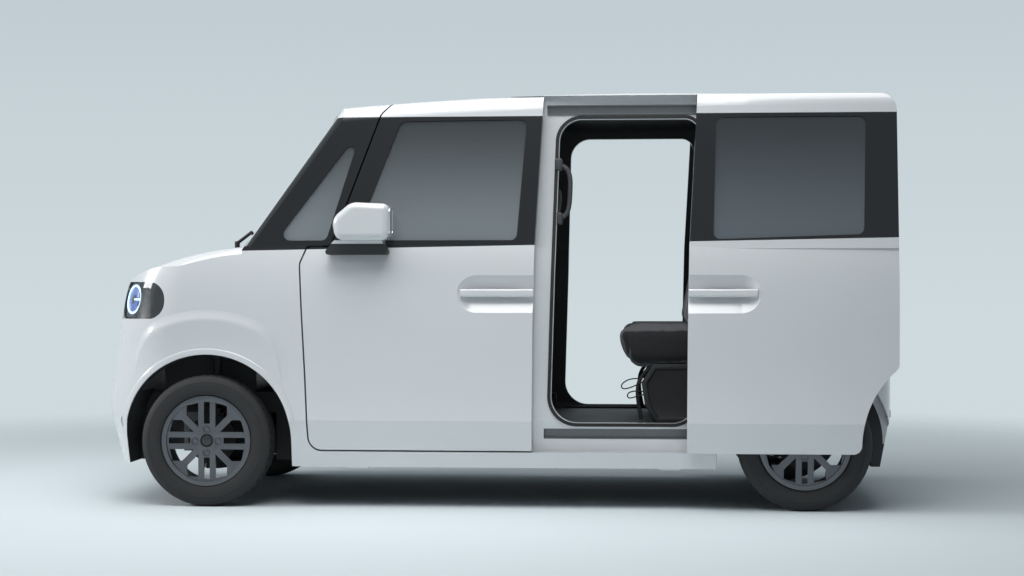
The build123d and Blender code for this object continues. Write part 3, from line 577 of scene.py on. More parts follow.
@dataclass
class Finishes:
    """All the car's materials, made once and in this order."""

    paint: Finish = made(Paint("pearl_white"))
    banded: Finish = made(Paint("pearl_white_sides", Cover.SIDE))
    tail: Finish = made(Paint("pearl_white_tail", Cover.SIDE, arch_radius=0.338, skirt_z=0.270))
    doors: Finish = made(Paint("pearl_white_doors", Cover.DOOR))
    roof: Finish = made(Paint("pearl_white_roof", Cover.ROOF))
    mirrors: Finish = made(Paint("pearl_white_mirrors", Cover.MIRROR))
    black: Finish = made(Plastic("black_grained_plastic", (0.014, 0.014, 0.015), 0.55))
    gloss_black: Finish = made(Plastic("black_gloss_plastic", (0.010, 0.010, 0.011), 0.18, 0.02, coat=0.6))
    rubber: Finish = made(Plastic("seal_rubber", (0.012, 0.012, 0.012), 0.7, 0.2, 500.0))
    tyre: Finish = made(Plastic("tyre_rubber", (0.016, 0.016, 0.017), 0.72, 0.3, 350.0))
    alloy: Finish = made(WheelPaint("dark_wheel_paint"))
    steel: Finish = made(Plastic("underbody_coat", (0.025, 0.025, 0.026), 0.6, 0.35, 180.0))
    bare: Finish = made(Plastic("bare_rail_steel", (0.16, 0.165, 0.17), 0.38, 0.08, 300.0, 0.8))
    dash: Finish = made(Plastic("dash_plastic", (0.045, 0.045, 0.047), 0.6, 0.3, 450.0))
    cloth: Finish = made(Cloth("seat_cloth", (0.085, 0.088, 0.094), (0.012, 0.012, 0.013)))
    webbing: Finish = made(Cloth("belt_webbing", (0.030, 0.030, 0.031), (0.028, 0.028, 0.029), 0.0035))
    grip: Finish = made(Plastic("grip_plastic", (0.055, 0.057, 0.060), 0.5, 0.2, 500.0))
    mirror: Finish = made(Plastic("mirror_silver", (0.55, 0.57, 0.60), 0.09, 0.0, 500.0, 1.0))
    # each glass's second colour is the pale painted reflection low on its pane
    clear_glass: Finish = made(Glass("door_glass", (0.040, 0.045, 0.049), (0.235, 0.265, 0.285), 0.24, 0.16))
    dark_glass: Finish = made(
        Glass("privacy_glass", (0.012, 0.014, 0.018), (0.105, 0.125, 0.142), 0.035, 0.02)
    )
    screen_glass: Finish = made(
        Glass("screen_glass", (0.020, 0.026, 0.028), (0.030, 0.036, 0.040), 0.68, 0.50)
    )
    lens: Finish = made(Lamp("clear_lens", (0.014, 0.015, 0.017), 0.06, 0.35, 1400.0, LAMP_WINDOW))
    lamp_black: Finish = made(Lamp("lamp_bowl", (0.012, 0.013, 0.015), 1.0, 0.8))
    lamp_blue: Finish = made(Glow("lamp_blue_glow", (0.010, 0.060, 0.30), 0.6))
    red_lens: Finish = made(Lamp("red_lens", (0.42, 0.010, 0.014), 0.94, 0.25))
    glow: Finish = made(Glow("lamp_glow", (0.45, 0.70, 1.0), 1.5))
    chrome: Finish = made(Plastic("bright_metal", (0.62, 0.63, 0.65), 0.14, 0.02, 500.0, 1.0))

    def by_node(self) -> dict[str, Finish]:
        """The finish of each carried-over CAD node, by the start of the node's name."""
        groups = (
            (self.banded, "body_side front_fender front_bumper"),
            (self.clear_glass, "front_door_glass fixed_side_glass"),
            (self.doors, "front_door slide_door"),
            (self.dark_glass, "slide_door_glass tailgate_glass"),
            (self.screen_glass, "windshield"),
            (self.roof, "roof_panel"),
            (self.tail, "rear_bumper"),
            (self.paint, "bonnet tailgate"),
            (self.mirrors, "door_mirror"),
            (self.steel, "floor_pan front_frame front_suspension knuckle rear_axle"),
            (self.black, "cowl_panel wipers fuel_tank"),
            (self.gloss_black, "front_grille"),
            (self.dash, "steering_column steering_wheel dashboard"),
            (self.lens, "headlamps"),
            (self.red_lens, "tail_lamps"),
            (self.rubber, "weather_seals"),
            (self.bare, "slide_rails slide_arms exhaust engine_block"),
            (self.alloy, "rim"),
            (self.tyre, "tyre"),
            (self.cloth, "front_seats rear_seat"),
        )
        return {start: finish for finish, starts in groups for start in starts.split()}

    def dress_nodes(self, nodes: dict[str, Piece]) -> None:
        """Gives each CAD node its finish.

        Args:
            nodes: The frame's nodes by name.
        """
        table = self.by_node()
        for name, node in nodes.items():
            key = max((k for k in table if name.startswith(k)), key=len)
            node.data.materials.clear()
            node.data.materials.append(table[key])
            LOG.info("dressed %s as %s", name, table[key].name)


class Bench:
    """Hand tools for one mesh at a time: primitives, picked elements, operators and modifiers."""

    @staticmethod
    def clear() -> None:
        """Leaves edit mode and selects nothing."""
        if bpy.context.object and bpy.context.object.mode != "OBJECT":
            bpy.ops.object.mode_set(mode="OBJECT")
        bpy.ops.object.select_all(action="DESELECT")

    @staticmethod
    def hold(piece: Piece) -> None:
        """Makes one piece the only one selected."""
        Bench.clear()
        piece.select_set(True)
        bpy.context.view_layer.objects.active = piece

    @staticmethod
    def settle(name: str) -> Piece:
        """Names the new object and moves its place and size into its mesh.

        Args:
            name: The piece's name.

        Returns:
            The object, at the origin and unscaled.
        """
        made = bpy.context.object
        made.name = made.data.name = name
        bpy.ops.object.transform_apply(location=True, rotation=True, scale=True)
        return made

    @staticmethod
    def box(name: str, low: Point, high: Point) -> Piece:
        """A block between two corners."""
        Bench.clear()
        bpy.ops.mesh.primitive_cube_add(size=1.0, location=(Vector(low) + Vector(high)) / 2)
        bpy.context.object.scale = Vector(high) - Vector(low)
        return Bench.settle(name)

    @staticmethod
    def drum(
        name: str, centre: Point, radius: float, depth: float, aim: Point, sides: int = 48
    ) -> Piece:
        """A round bar.

        Args:
            name: The piece's name.
            centre: Its middle.
            radius: Its radius.
            depth: Its length.
            aim: The way its axis points.
            sides: Its number of sides.

        Returns:
            The object.
        """
        Bench.clear()
        turn = Vector(aim).to_track_quat("Z", "Y").to_euler()
        bpy.ops.mesh.primitive_cylinder_add(
            vertices=sides, radius=radius, depth=depth, location=centre, rotation=turn
        )
        return Bench.settle(name)

    @staticmethod
    def plate(name: str, points: Sequence[Point], thick: Point) -> Piece:
        """A flat outline, pulled out to a thickness.

        Args:
            name: The piece's name.
            points: The outline's corners in order.
            thick: The way and distance that it is pulled.

        Returns:
            The object.
        """
        Bench.clear()
        bpy.ops.mesh.primitive_circle_add(vertices=len(points), fill_type="NGON")
        piece = Bench.settle(name)
        for vertex, point in zip(piece.data.vertices, points):
            vertex.co = point
        Bench.pick(piece)
        bpy.ops.mesh.extrude_region_move(TRANSFORM_OT_translate={"value": thick})
        Bench.outward(piece)
        return piece

    @staticmethod
    def tube(name: str, points: Sequence[Point], radius: float, closed: bool = False) -> Piece:
        """A round bar along a smooth line.

        Args:
            name: The piece's name.
            points: The line's control points.
            radius: The bar's radius.
            closed: Whether the line runs back to its start.

        Returns:
            The object, as a mesh.
        """
        Bench.clear()
        bpy.ops.curve.primitive_nurbs_path_add()
        curve = bpy.context.object.data
        curve.splines.clear()
        spline = curve.splines.new("NURBS")
        spline.points.add(len(points) - 1)
        for control, point in zip(spline.points, points):
            control.co = (*point, 1.0)
        spline.use_cyclic_u = closed
        spline.use_endpoint_u = not closed
        spline.order_u = 3
        spline.resolution_u = 8
        curve.bevel_depth, curve.bevel_resolution, curve.use_fill_caps = radius, 3, True
        bpy.ops.object.convert(target="MESH")
        piece = Bench.settle(name)
        Bench.outward(piece)
        return piece

    @staticmethod
    def pick(piece: Piece, test: Test | None = None, kind: str = "FACE") -> None:
        """Goes into edit mode with the faces or edges selected that pass a test.

        Args:
            piece: The mesh.
            test: Takes an element's middle, and its normal or direction. None selects all.
            kind: FACE or EDGE.
        """
        Bench.hold(piece)
        bpy.ops.object.mode_set(mode="EDIT")
        bpy.ops.mesh.select_mode(type=kind)
        bpy.ops.mesh.select_all(action="DESELECT" if test else "SELECT")
        if not test:
            return
        mesh = bmesh.from_edit_mesh(piece.data)
        if kind == "FACE":
            for face in mesh.faces:
                face.select_set(test(face.calc_center_median(), face.normal))
        else:
            for edge in mesh.edges:
                first, second = (corner.co for corner in edge.verts)
                edge.select_set(test((first + second) / 2, (second - first).normalized()))
        bmesh.update_edit_mesh(piece.data)

    @staticmethod
    def outward(piece: Piece) -> None:
        """Merges doubles and turns the faces outwards."""
        Bench.pick(piece)
        bpy.ops.mesh.remove_doubles(threshold=MERGE)
        bpy.ops.mesh.normals_make_consistent(inside=False)
        Bench.clear()

    @staticmethod
    def round_edges(piece: Piece, width: float, steps: int = 3, test: Test | None = None) -> None:
        """Rounds the edges that pass a test, or all of them."""
        Bench.pick(piece, test or (lambda middle, way: True), "EDGE")
        bpy.ops.mesh.bevel(offset=width, segments=steps, affect="EDGES", clamp_overlap=True)
        Bench.clear()

    @staticmethod
    def recess(piece: Piece, test: Test, rim: float, depth: float) -> None:
        """Insets the faces that pass a test and pushes them in, or out where the depth is negative."""
        Bench.pick(piece, test)
        bpy.ops.mesh.inset(thickness=rim, depth=0.0, use_even_offset=True)
        bpy.ops.mesh.extrude_region_shrink_fatten(TRANSFORM_OT_shrink_fatten={"value": -depth})
        Bench.clear()

    @staticmethod
    def modify(piece: Piece, kind: str, **settings: object) -> None:
        """Adds a modifier and applies it."""
        Bench.hold(piece)
        made = piece.modifiers.new(kind.lower(), kind)
        for key, value in settings.items():
            setattr(made, key, value)
        bpy.ops.object.modifier_apply(modifier=made.name)

    @staticmethod
    def copy(piece: Piece, name: str, move: Matrix) -> Piece:
        """A copy with its own mesh, moved or mirrored.

        Args:
            piece: What is copied.
            name: The copy's name.
            move: Its move from the first.

        Returns:
            The copy.
        """
        Bench.hold(piece)
        bpy.ops.object.duplicate(linked=False)
        bpy.context.object.matrix_world = move
        made = Bench.settle(name)
        if move.determinant() < 0:
            Bench.pick(made)
            bpy.ops.mesh.flip_normals()
            Bench.clear()
        return made

    @staticmethod
    def twin(piece: Piece, name: str) -> Piece:
        """The mirror image of a piece on the car's other side."""
        return Bench.copy(piece, name, ACROSS)

    @staticmethod
    def join(name: str, pieces: Sequence[Piece]) -> Piece:
        """Several meshes as one piece."""
        Bench.hold(pieces[0])
        for piece in pieces:
            piece.select_set(True)
        bpy.ops.object.join()
        return Bench.settle(name)

    @staticmethod
    def dress(piece: Piece, finish: Finish, slot: str, body: str = "root", crease: float = HARD) -> Piece:
        """Gives a finished piece its material, shading and body.

        Args:
            piece: The piece.
            finish: Its material.
            slot: Not used.
            body: The body it rides on.
            crease: Edges sharper than this many degrees stay sharp.

        Returns:
            The piece.
        """
        Bench.hold(piece)
        bpy.ops.object.shade_smooth_by_angle(angle=math.radians(crease))
        piece.data.materials.clear()
        piece.data.materials.append(finish)
        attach(piece, body)
        LOG.info("%s on %s, %d faces", piece.name, body, len(piece.data.polygons))
        return piece

    @staticmethod
    def pair(left: Piece, finish: Finish, slot: str, body: str = "", crease: float = HARD) -> None:
        """Mirrors a left piece, names both by their sides and dresses them.

        Args:
            left: The piece on the left.
            finish: Their material.
            slot: Not used.
            body: The start of the name of the two bodies they ride on, or nothing for the root.
            crease: Edges sharper than this many degrees stay sharp.
        """
        name = left.name
        pieces = {Side.RIGHT: Bench.twin(left, f"{name}_right"), Side.LEFT: left}
        left.name = f"{name}_left"
        for side in Side:
            Bench.dress(pieces[side], finish, slot, f"{body}_{side.word}" if body else "root", crease)


@dataclass
class Wheels:
    """The four tyres with their treads, and the wheels with softened edges and centre caps."""

    finishes: Finishes
    nodes: dict[str, Piece]
    radius: float = AXLE_Z
    half_track: float = 0.6525
    steps: int = 240
    sipe_every: int = 5
    sipe_depth: float = 0.004
    sipe_end: float = 0.0575
    groove_depth: float = 0.006
    groove_half: float = 0.0035
    groove_foot: float = 0.0035 * 0.6
    grooves: tuple[float, ...] = (0.031, 0.011)
    edge: float = 0.0014
    cap_radius: float = 0.027
    cap_out: float = 0.0465
    cap_depth: float = 0.010
    # one sidewall from the bead to the shoulder: radius, distance from the tyre's middle
    sidewall: tuple[tuple[float, float], ...] = (
        (0.1800, 0.0440), (0.1918, 0.0560), (0.1950, 0.0655), (0.1995, 0.0722), (0.2055, 0.0728),
        (0.2068, 0.0745), (0.2180, 0.0765), (0.2310, 0.0773), (0.2420, 0.0770), (0.2432, 0.0758),
        (0.2470, 0.0754), (0.2482, 0.0764), (0.2565, 0.0738), (0.2655, 0.0690), (0.2722, 0.0630),
        (0.2760, 0.0560), (0.2775, 0.0500),
    )

    def build(self) -> None:
        """Models one tyre and one cap, and puts copies at the four corners."""
        tyre = self._tyre()
        cap = self._cap()
        for corner in Corner:
            name = corner.value
            x = FRONT_X if corner.at_front else REAR_X
            turn = Matrix.Identity(4) if corner.at_left else Matrix.Rotation(math.pi, 4, "Z")
            place = Matrix.Translation((x, corner.sign * self.half_track, self.radius)) @ turn
            body = f"wheel_{name}"
            shod = Bench.copy(tyre, f"tyre_tread_{name}", place)
            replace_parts(Bench.dress(shod, self.finishes.tyre, "tyre_rubber", body), f"tyre_{name}")
            centre = Bench.copy(cap, f"wheel_cap_{name}", place)
            Bench.dress(centre, self.finishes.gloss_black, "black_trim", body)
            rim = self._rim(name)
            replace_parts(Bench.dress(rim, self.finishes.alloy, "dark_alloy", body), f"rim_{name}")
        for model in (tyre, cap):
            bpy.data.objects.remove(model)

    def _profile(self) -> list[Point]:
        """The tyre's closed section on the X and Y axes, with its round grooves."""
        tread = []
        deep = self.radius - self.groove_depth
        for middle in self.grooves:
            for level, y in (
                (self.radius, middle + self.groove_half), (deep, middle + self.groove_foot),
                (deep, middle - self.groove_foot), (self.radius, middle - self.groove_half),
            ):
                tread.append((level, y))
        half = [*self.sidewall, (self.radius - 0.0003, 0.042), *tread]
        return [(r, y, 0.0) for r, y in half] + [(r, -y, 0.0) for r, y in reversed(half)]

    def _tyre(self) -> Piece:
        """A tyre at the origin: its section spun about Y, then cross cuts in the shoulders."""
        Bench.clear()
        points = self._profile()
        bpy.ops.mesh.primitive_circle_add(vertices=len(points), fill_type="NOTHING")
        piece = Bench.settle("tyre_model")
        for vertex, point in zip(piece.data.vertices, points):
            vertex.co = point
        Bench.pick(piece, None, "EDGE")
        bpy.ops.mesh.spin(steps=self.steps, angle=2 * math.pi, center=(0, 0, 0), axis=(0, 1, 0))
        Bench.outward(piece)
        pitch = 2 * math.pi / self.steps

        def in_cut(middle: Vector, normal: Vector) -> bool:
            """Whether a shoulder face lies in a cross cut, which the two shoulders have in turn."""
            low, high = self.grooves[0] + self.groove_half, self.sipe_end
            row = round((math.atan2(middle.z, middle.x) % (2 * math.pi)) / pitch - 0.5)
            shift = 0 if middle.y > 0 else self.sipe_every // 2
            return low < abs(middle.y) < high and row % self.sipe_every == shift and abs(normal.y) < ALONG

        Bench.pick(piece, in_cut)
        cut = {"value": -self.sipe_depth}
        bpy.ops.mesh.extrude_region_shrink_fatten(TRANSFORM_OT_shrink_fatten=cut)
        Bench.clear()
        return piece

    def _cap(self) -> Piece:
        """A plain domed centre cap at the origin, its face towards +Y."""
        cap = Bench.drum("cap_model", (0, self.cap_out, 0), self.cap_radius, self.cap_depth, (0, 1, 0))
        Bench.recess(cap, points_to("+y"), 0.005, 0.0015)
        Bench.recess(cap, points_to("+y"), 0.006, -0.0012)
        Bench.round_edges(cap, 0.0012, 2, lambda middle, way: middle.y > self.cap_out)
        return cap

    def _rim(self, name: str) -> Piece:
        """A copy of the CAD wheel with its edges broken, as a casting's are."""
        rim = Bench.copy(self.nodes[f"rim_{name}"], f"wheel_face_{name}", Matrix.Identity(4))
        Bench.pick(rim)
        bpy.ops.mesh.remove_doubles(threshold=MERGE)
        bpy.ops.mesh.dissolve_limited(angle_limit=math.radians(1.0))
        Bench.clear()
        Bench.modify(
            rim, "BEVEL", width=self.edge, segments=2, limit_method="ANGLE", angle_limit=math.radians(50)
        )
        return rim


@dataclass(frozen=True)
class Pad:
    """One stuffed block of a seat, before it swells.

    low and high are its corners and edge their rounding. nose is how far its front lower edge is
    cut back, rake how far its top leans backwards, and waist the share by which its top is drawn in.
    channels are the Y places of its sewn lines, and cross the X places.
    """

    name: str
    low: Point
    high: Point
    edge: float = 0.05
    nose: float = 0.0
    rake: float = 0.0
    waist: float = 0.0
    channels: tuple[float, ...] = ()
    cross: tuple[float, ...] = ()


@dataclass
class Seats:
    """Front seats and the rear bench: simulated pads with sewn lines, frames, posts and straps."""

    finishes: Finishes
    fill: float = 0.7
    near: float = 0.01
    voxel: float = 0.008
    pressure: float = 4.0
    frames: int = 20
    cap: float = 0.014
    shrink: float = 0.008
    seam_half: float = 0.006
    seam_depth: float = 0.005
    front_y: float = 0.330
    post_radius: float = 0.007
    post_half: float = 0.06
    post_z: tuple[float, float] = (1.20, 1.30)
    post_lean: float = 0.012
    front_post_x: float = -0.185
    rear_post_x: float = -1.000
    front_pads: tuple[Pad, ...] = (
        Pad("front_cushion", (-0.190, -0.225, 0.522), (0.320, 0.225, 0.692), 0.06, 0.05, 0.0, 0.05,
            (-0.135, 0.135), (0.20,)),
        Pad("front_back", (-0.130, -0.222, 0.640), (-0.020, 0.222, 1.225), 0.05, 0.0, 0.095, 0.10,
            (-0.125, 0.125), ()),
        Pad("front_head", (-0.250, -0.128, 1.248), (-0.165, 0.128, 1.415), 0.04, 0.0, 0.016),
    )
    rear_pads: tuple[Pad, ...] = (
        Pad("rear_cushion", (-1.015, -0.500, 0.592), (-0.514, 0.500, 0.764), 0.06, 0.055, 0.0, 0.0,
            (-0.36, -0.14, 0.14, 0.36), (-0.585,)),
        Pad("rear_back", (-0.950, -0.500, 0.730), (-0.815, 0.500, 1.225), 0.06, 0.0, 0.095, 0.05,
            (-0.36, -0.14, 0.14, 0.36), ()),
        Pad("rear_head", (-1.048, -0.118, 1.248), (-0.963, 0.118, 1.395), 0.04, 0.0, 0.014),
    )
    rear_heads_y: tuple[float, ...] = (-0.250, 0.250)
    leg_y: float = 0.43
    leg_thick: float = 0.035
    brace_radius: float = 0.009
    stays_y: tuple[float, ...] = (-0.30, 0.0, 0.30)
    stay_radius: float = 0.012
    # strap loops: height of the free end, its X, the X and height where it is sewn on
    straps: tuple[tuple[float, ...], ...] = (
        (0.502, -0.552, -0.645, 0.535), (0.462, -0.578, -0.650, 0.480),
    )
    strap_y: float = 0.455
    strap_radius: float = 0.0028

    def build(self) -> None:
        """Models each pad once, and puts the front seats and the bench together."""
        self._front_seats()
        self._rear_bench()

    def _front_seats(self) -> None:
        """Two front seats from one set of pads."""
        cushion, back, head = (self._pad(pad) for pad in self.front_pads)
        base = self._base("front_base", (-0.155, -0.185, 0.346), (0.275, 0.185, 0.535))
        posts = self._posts("front_posts", self.front_post_x, 0.0)
        for side in Side:
            move = Matrix.Translation((0.0, side.value * self.front_y, 0.0))
            for model in (cushion, back, head):
                piece = self._stuff(Bench.copy(model, f"{model.name}_{side.word}", move))
                if model is cushion and side is Side.LEFT:
                    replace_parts(piece, "front_seats")
            for model, finish, slot in (
                (base, self.finishes.black, "black_trim"), (posts, self.finishes.chrome, "rail_metal")
            ):
                Bench.dress(Bench.copy(model, f"{model.name}_{side.word}", move), finish, slot)
        for model in (cushion, back, head, base, posts):
            bpy.data.objects.remove(model)

    def _rear_bench(self) -> None:
        """The bench: cushion, back, two head pads, its folding legs and the strap loops."""
        cushion, back, head = (self._pad(pad) for pad in self.rear_pads)
        self._stuff(cushion)
        self._stuff(back)
        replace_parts(cushion, "rear_seat")
        for number, y in enumerate(self.rear_heads_y):
            self._stuff(Bench.copy(head, f"rear_head_pad_{number}", Matrix.Translation((0.0, y, 0.0))))
            posts = self._posts(f"rear_posts_{number}", self.rear_post_x, y)
            Bench.dress(posts, self.finishes.chrome, "rail_metal")
        bpy.data.objects.remove(head)
        self._legs()

    def _base(self, name: str, low: Point, high: Point) -> Piece:
        """A seat's skirted base, drawn in at the top."""
        base = Bench.box(name, low, high)
        Bench.recess(base, points_to("x"), 0.035, 0.012)
        Bench.recess(base, points_to("y"), 0.035, 0.008)
        Bench.round_edges(base, 0.006, 2)
        return base

    def _posts(self, name: str, x: float, middle: float) -> Piece:
        """A head pad's two posts, leaning with the back."""
        low, high = self.post_z
        posts = []
        for y in (middle - self.post_half, middle + self.post_half):
            bend = (x - self.post_lean, y, (low + high) / 2)
            points = [(x, y, low), bend, (x - 2 * self.post_lean, y, high)]
            posts.append(Bench.tube("post", points, self.post_radius))
        return Bench.join(name, posts)

    def _stuff(self, pad: Piece) -> Piece:
        """Dresses a pad in cloth."""
        Bench.dress(pad, self.finishes.cloth, "seat_fabric", crease=SOFT)
        return pad

    def _legs(self) -> None:
        """The bench's folding frame on each side, and two pull straps under the cushion."""
        frames = []
        for side in Side:
            y = side.value * self.leg_y
            block = Bench.plate(
                "leg",
                [(-0.70, y, 0.347), (-0.655, y, 0.420), (-0.640, y, 0.520), (-0.690, y, 0.600),
                 (-0.990, y, 0.600), (-0.990, y, 0.347)],
                (0.0, side.value * self.leg_thick, 0.0),
            )
            Bench.recess(block, points_to("y"), 0.022, 0.010)
            Bench.round_edges(block, 0.004, 2)
            bend = [(-0.640, y, 0.360), (-0.615, y, 0.470), (-0.640, y, 0.560), (-0.700, y, 0.600)]
            frames += [block, Bench.tube("brace", bend, self.brace_radius)]
        frames.append(self._base("bench_box", (-0.985, -0.425, 0.346), (-0.690, 0.425, 0.600)))
        for y in self.stays_y:
            bend = [(-0.69, y, 0.37), (-0.66, y, 0.47), (-0.68, y, 0.59)]
            frames.append(Bench.tube("cross", bend, self.stay_radius))
        Bench.dress(Bench.join("bench_frame", frames), self.finishes.black, "black_trim")
        y = self.strap_y
        for number, (end_z, end_x, root_x, root_z) in enumerate(self.straps):
            middle = (root_x + end_x) / 2
            loop = [
                (root_x, y, root_z), (middle, y, root_z + 0.006), (end_x, y, end_z + 0.012),
                (end_x - 0.004, y, end_z - 0.012), (middle, y, end_z - 0.004), (root_x, y, root_z - 0.012),
            ]
            strap = Bench.tube(f"pull_strap_{number}", loop, self.strap_radius)
            Bench.dress(strap, self.finishes.rubber, "seal_rubber")

    def _pad(self, pad: Pad) -> Piece:
        """Models a pad: a shaped block, swollen as cloth, with its sewn lines drawn in.

        Args:
            pad: Its sizes.

        Returns:
            The finished mesh.
        """
        low = Vector(pad.low) + Vector((self.shrink,) * 3)
        high = Vector(pad.high) - Vector((self.shrink,) * 3)
        piece = Bench.box(pad.name, low, high)
        if pad.nose:
            Bench.pick(piece, lambda middle, way: abs(way.y) > ALONG and middle.x > high.x - self.near
                       and middle.z < low.z + self.near, "EDGE")
            bpy.ops.transform.translate(value=(-pad.nose, 0.0, 0.0))
        if pad.rake:
            Bench.pick(piece, points_to("+z"))
            bpy.ops.transform.translate(value=(-pad.rake, 0.0, 0.0))
        if pad.waist:
            Bench.pick(piece, points_to("+z"))
            bpy.ops.transform.resize(value=(1.0, 1.0 - pad.waist, 1.0))
        Bench.round_edges(piece, pad.edge - self.shrink, 4)
        self._swell(piece)
        self._sew(piece, pad)
        return piece

    def _swell(self, piece: Piece) -> None:
        """Remeshes a block and lets it swell as pressed cloth, each point by no more than the cap."""
        Bench.modify(piece, "REMESH", mode="VOXEL", voxel_size=self.voxel)
        start = [vertex.co.copy() for vertex in piece.data.vertices]
        cloth = piece.modifiers.new("cloth", "CLOTH")
        cloth.settings.use_pressure = True
        cloth.settings.uniform_pressure_force = self.pressure
        cloth.settings.effector_weights.gravity = 0.0
        cloth.settings.quality = 4
        for frame in range(1, self.frames + 1):
            bpy.context.scene.frame_set(frame)
        Bench.hold(piece)
        bpy.ops.object.modifier_apply(modifier=cloth.name)
        bpy.context.scene.frame_set(1)
        for vertex, old in zip(piece.data.vertices, start):
            move = vertex.co - old
            if move.length > self.cap:
                vertex.co = old + move * (self.cap / move.length)
        Bench.modify(piece, "SMOOTH", factor=0.5, iterations=3)

    def _sew(self, piece: Piece, pad: Pad) -> None:
        """Draws the sewn lines into a pad, along its length and across it."""
        if not (pad.channels or pad.cross):
            return
        for vertex in piece.data.vertices:
            near = [abs(vertex.co.y - y) for y in pad.channels] + [abs(vertex.co.x - x) for x in pad.cross]
            pull = math.exp(-((min(near) / self.seam_half) ** 2)) * self.seam_depth
            vertex.co -= vertex.normal * pull


@dataclass
class Headlamps:
    """What shows through the headlamp lenses: a ribbed dark bowl, a blue eye, and a lit ring and bar."""

    finishes: Finishes
    nodes: dict[str, Piece]
    inset: float = 0.008
    centre: Point = (1.525, 0.590, 0.878)
    look: Point = (0.62, 0.78, 0.0)
    ring_radius: float = 0.059
    ring_thick: float = 0.0048
    ring_points: int = 28
    bar_thick: float = 0.0042
    bar_reach: tuple[float, ...] = (0.95, 0.7, 0.45, 0.2)
    lens_gap: float = 0.0030
    eye_share: float = 0.94
    eye_gap: float = 0.0068
    eye_top: float = 0.010
    eye_flat: float = 0.2

    def build(self) -> None:
        """Models the left lamp's insides and mirrors them."""
        lens = self.nodes["headlamps"]
        bowl = Bench.copy(lens, "headlamp_bowls", Matrix.Identity(4))
        Bench.outward(bowl)
        Bench.pick(bowl)
        bpy.ops.transform.shrink_fatten(value=-self.inset)
        Bench.dress(bowl, self.finishes.lamp_black, "black_trim")
        aim = Vector(self.look).normalized()
        across = Vector((0, 0, 1)).cross(aim)
        ring = self._ring(lens, aim, across)
        bar = self._bar(lens, aim, across)
        eye = self._eye(lens, aim)
        Bench.pair(ring, self.finishes.glow, "lamp_lens")
        Bench.pair(bar, self.finishes.glow, "lamp_lens")
        Bench.pair(eye, self.finishes.lamp_blue, "lamp_lens")

    def _on_lens(self, lens: Piece, point: Vector, aim: Vector, depth: float) -> Vector:
        """A point at a depth under the lens, straight below a point in front of it.

        Args:
            lens: The lens node.
            point: A point near the lens.
            aim: The way out of the lamp.
            depth: How far under the lens the result lies.

        Returns:
            The place under the lens.
        """
        hit, place, _, _ = lens.ray_cast(point + aim * 0.3, -aim, distance=0.6)
        return (place if hit else point) - aim * depth

    def _ring(self, lens: Piece, aim: Vector, across: Vector) -> Piece:
        """The round light guide that follows the lens."""
        points = []
        for i in range(self.ring_points):
            turn = 2 * math.pi * i / self.ring_points
            way = across * math.cos(turn) + Vector((0, 0, 1)) * math.sin(turn)
            flat = Vector(self.centre) + way * self.ring_radius
            points.append(tuple(self._on_lens(lens, flat, aim, self.lens_gap + self.ring_thick)))
        return Bench.tube("lamp_ring", points, self.ring_thick, closed=True)

    def _bar(self, lens: Piece, aim: Vector, across: Vector) -> Piece:
        """The level light bar in the ring's outer half."""
        points = []
        for reach in self.bar_reach:
            flat = Vector(self.centre) + across * self.ring_radius * reach
            points.append(tuple(self._on_lens(lens, flat, aim, self.lens_gap + self.bar_thick)))
        return Bench.tube("lamp_bar", points, self.bar_thick)

    def _eye(self, lens: Piece, aim: Vector) -> Piece:
        """The blue projector eye: a domed disc inside the ring."""
        eye = Bench.drum("lamp_eye", self.centre, self.ring_radius * self.eye_share, 0.008, tuple(aim), 56)
        Bench.recess(eye, lambda middle, normal: normal.dot(aim) > ALONG, 0.018, -0.006)
        for vertex in eye.data.vertices:
            shift = vertex.co - Vector(self.centre)
            flat = vertex.co - aim * shift.dot(aim)
            dome = (shift.dot(aim) - self.eye_top) * self.eye_flat
            vertex.co = self._on_lens(lens, flat, aim, self.eye_gap) + aim * dome
        Bench.round_edges(eye, 0.002, 2)
        return eye


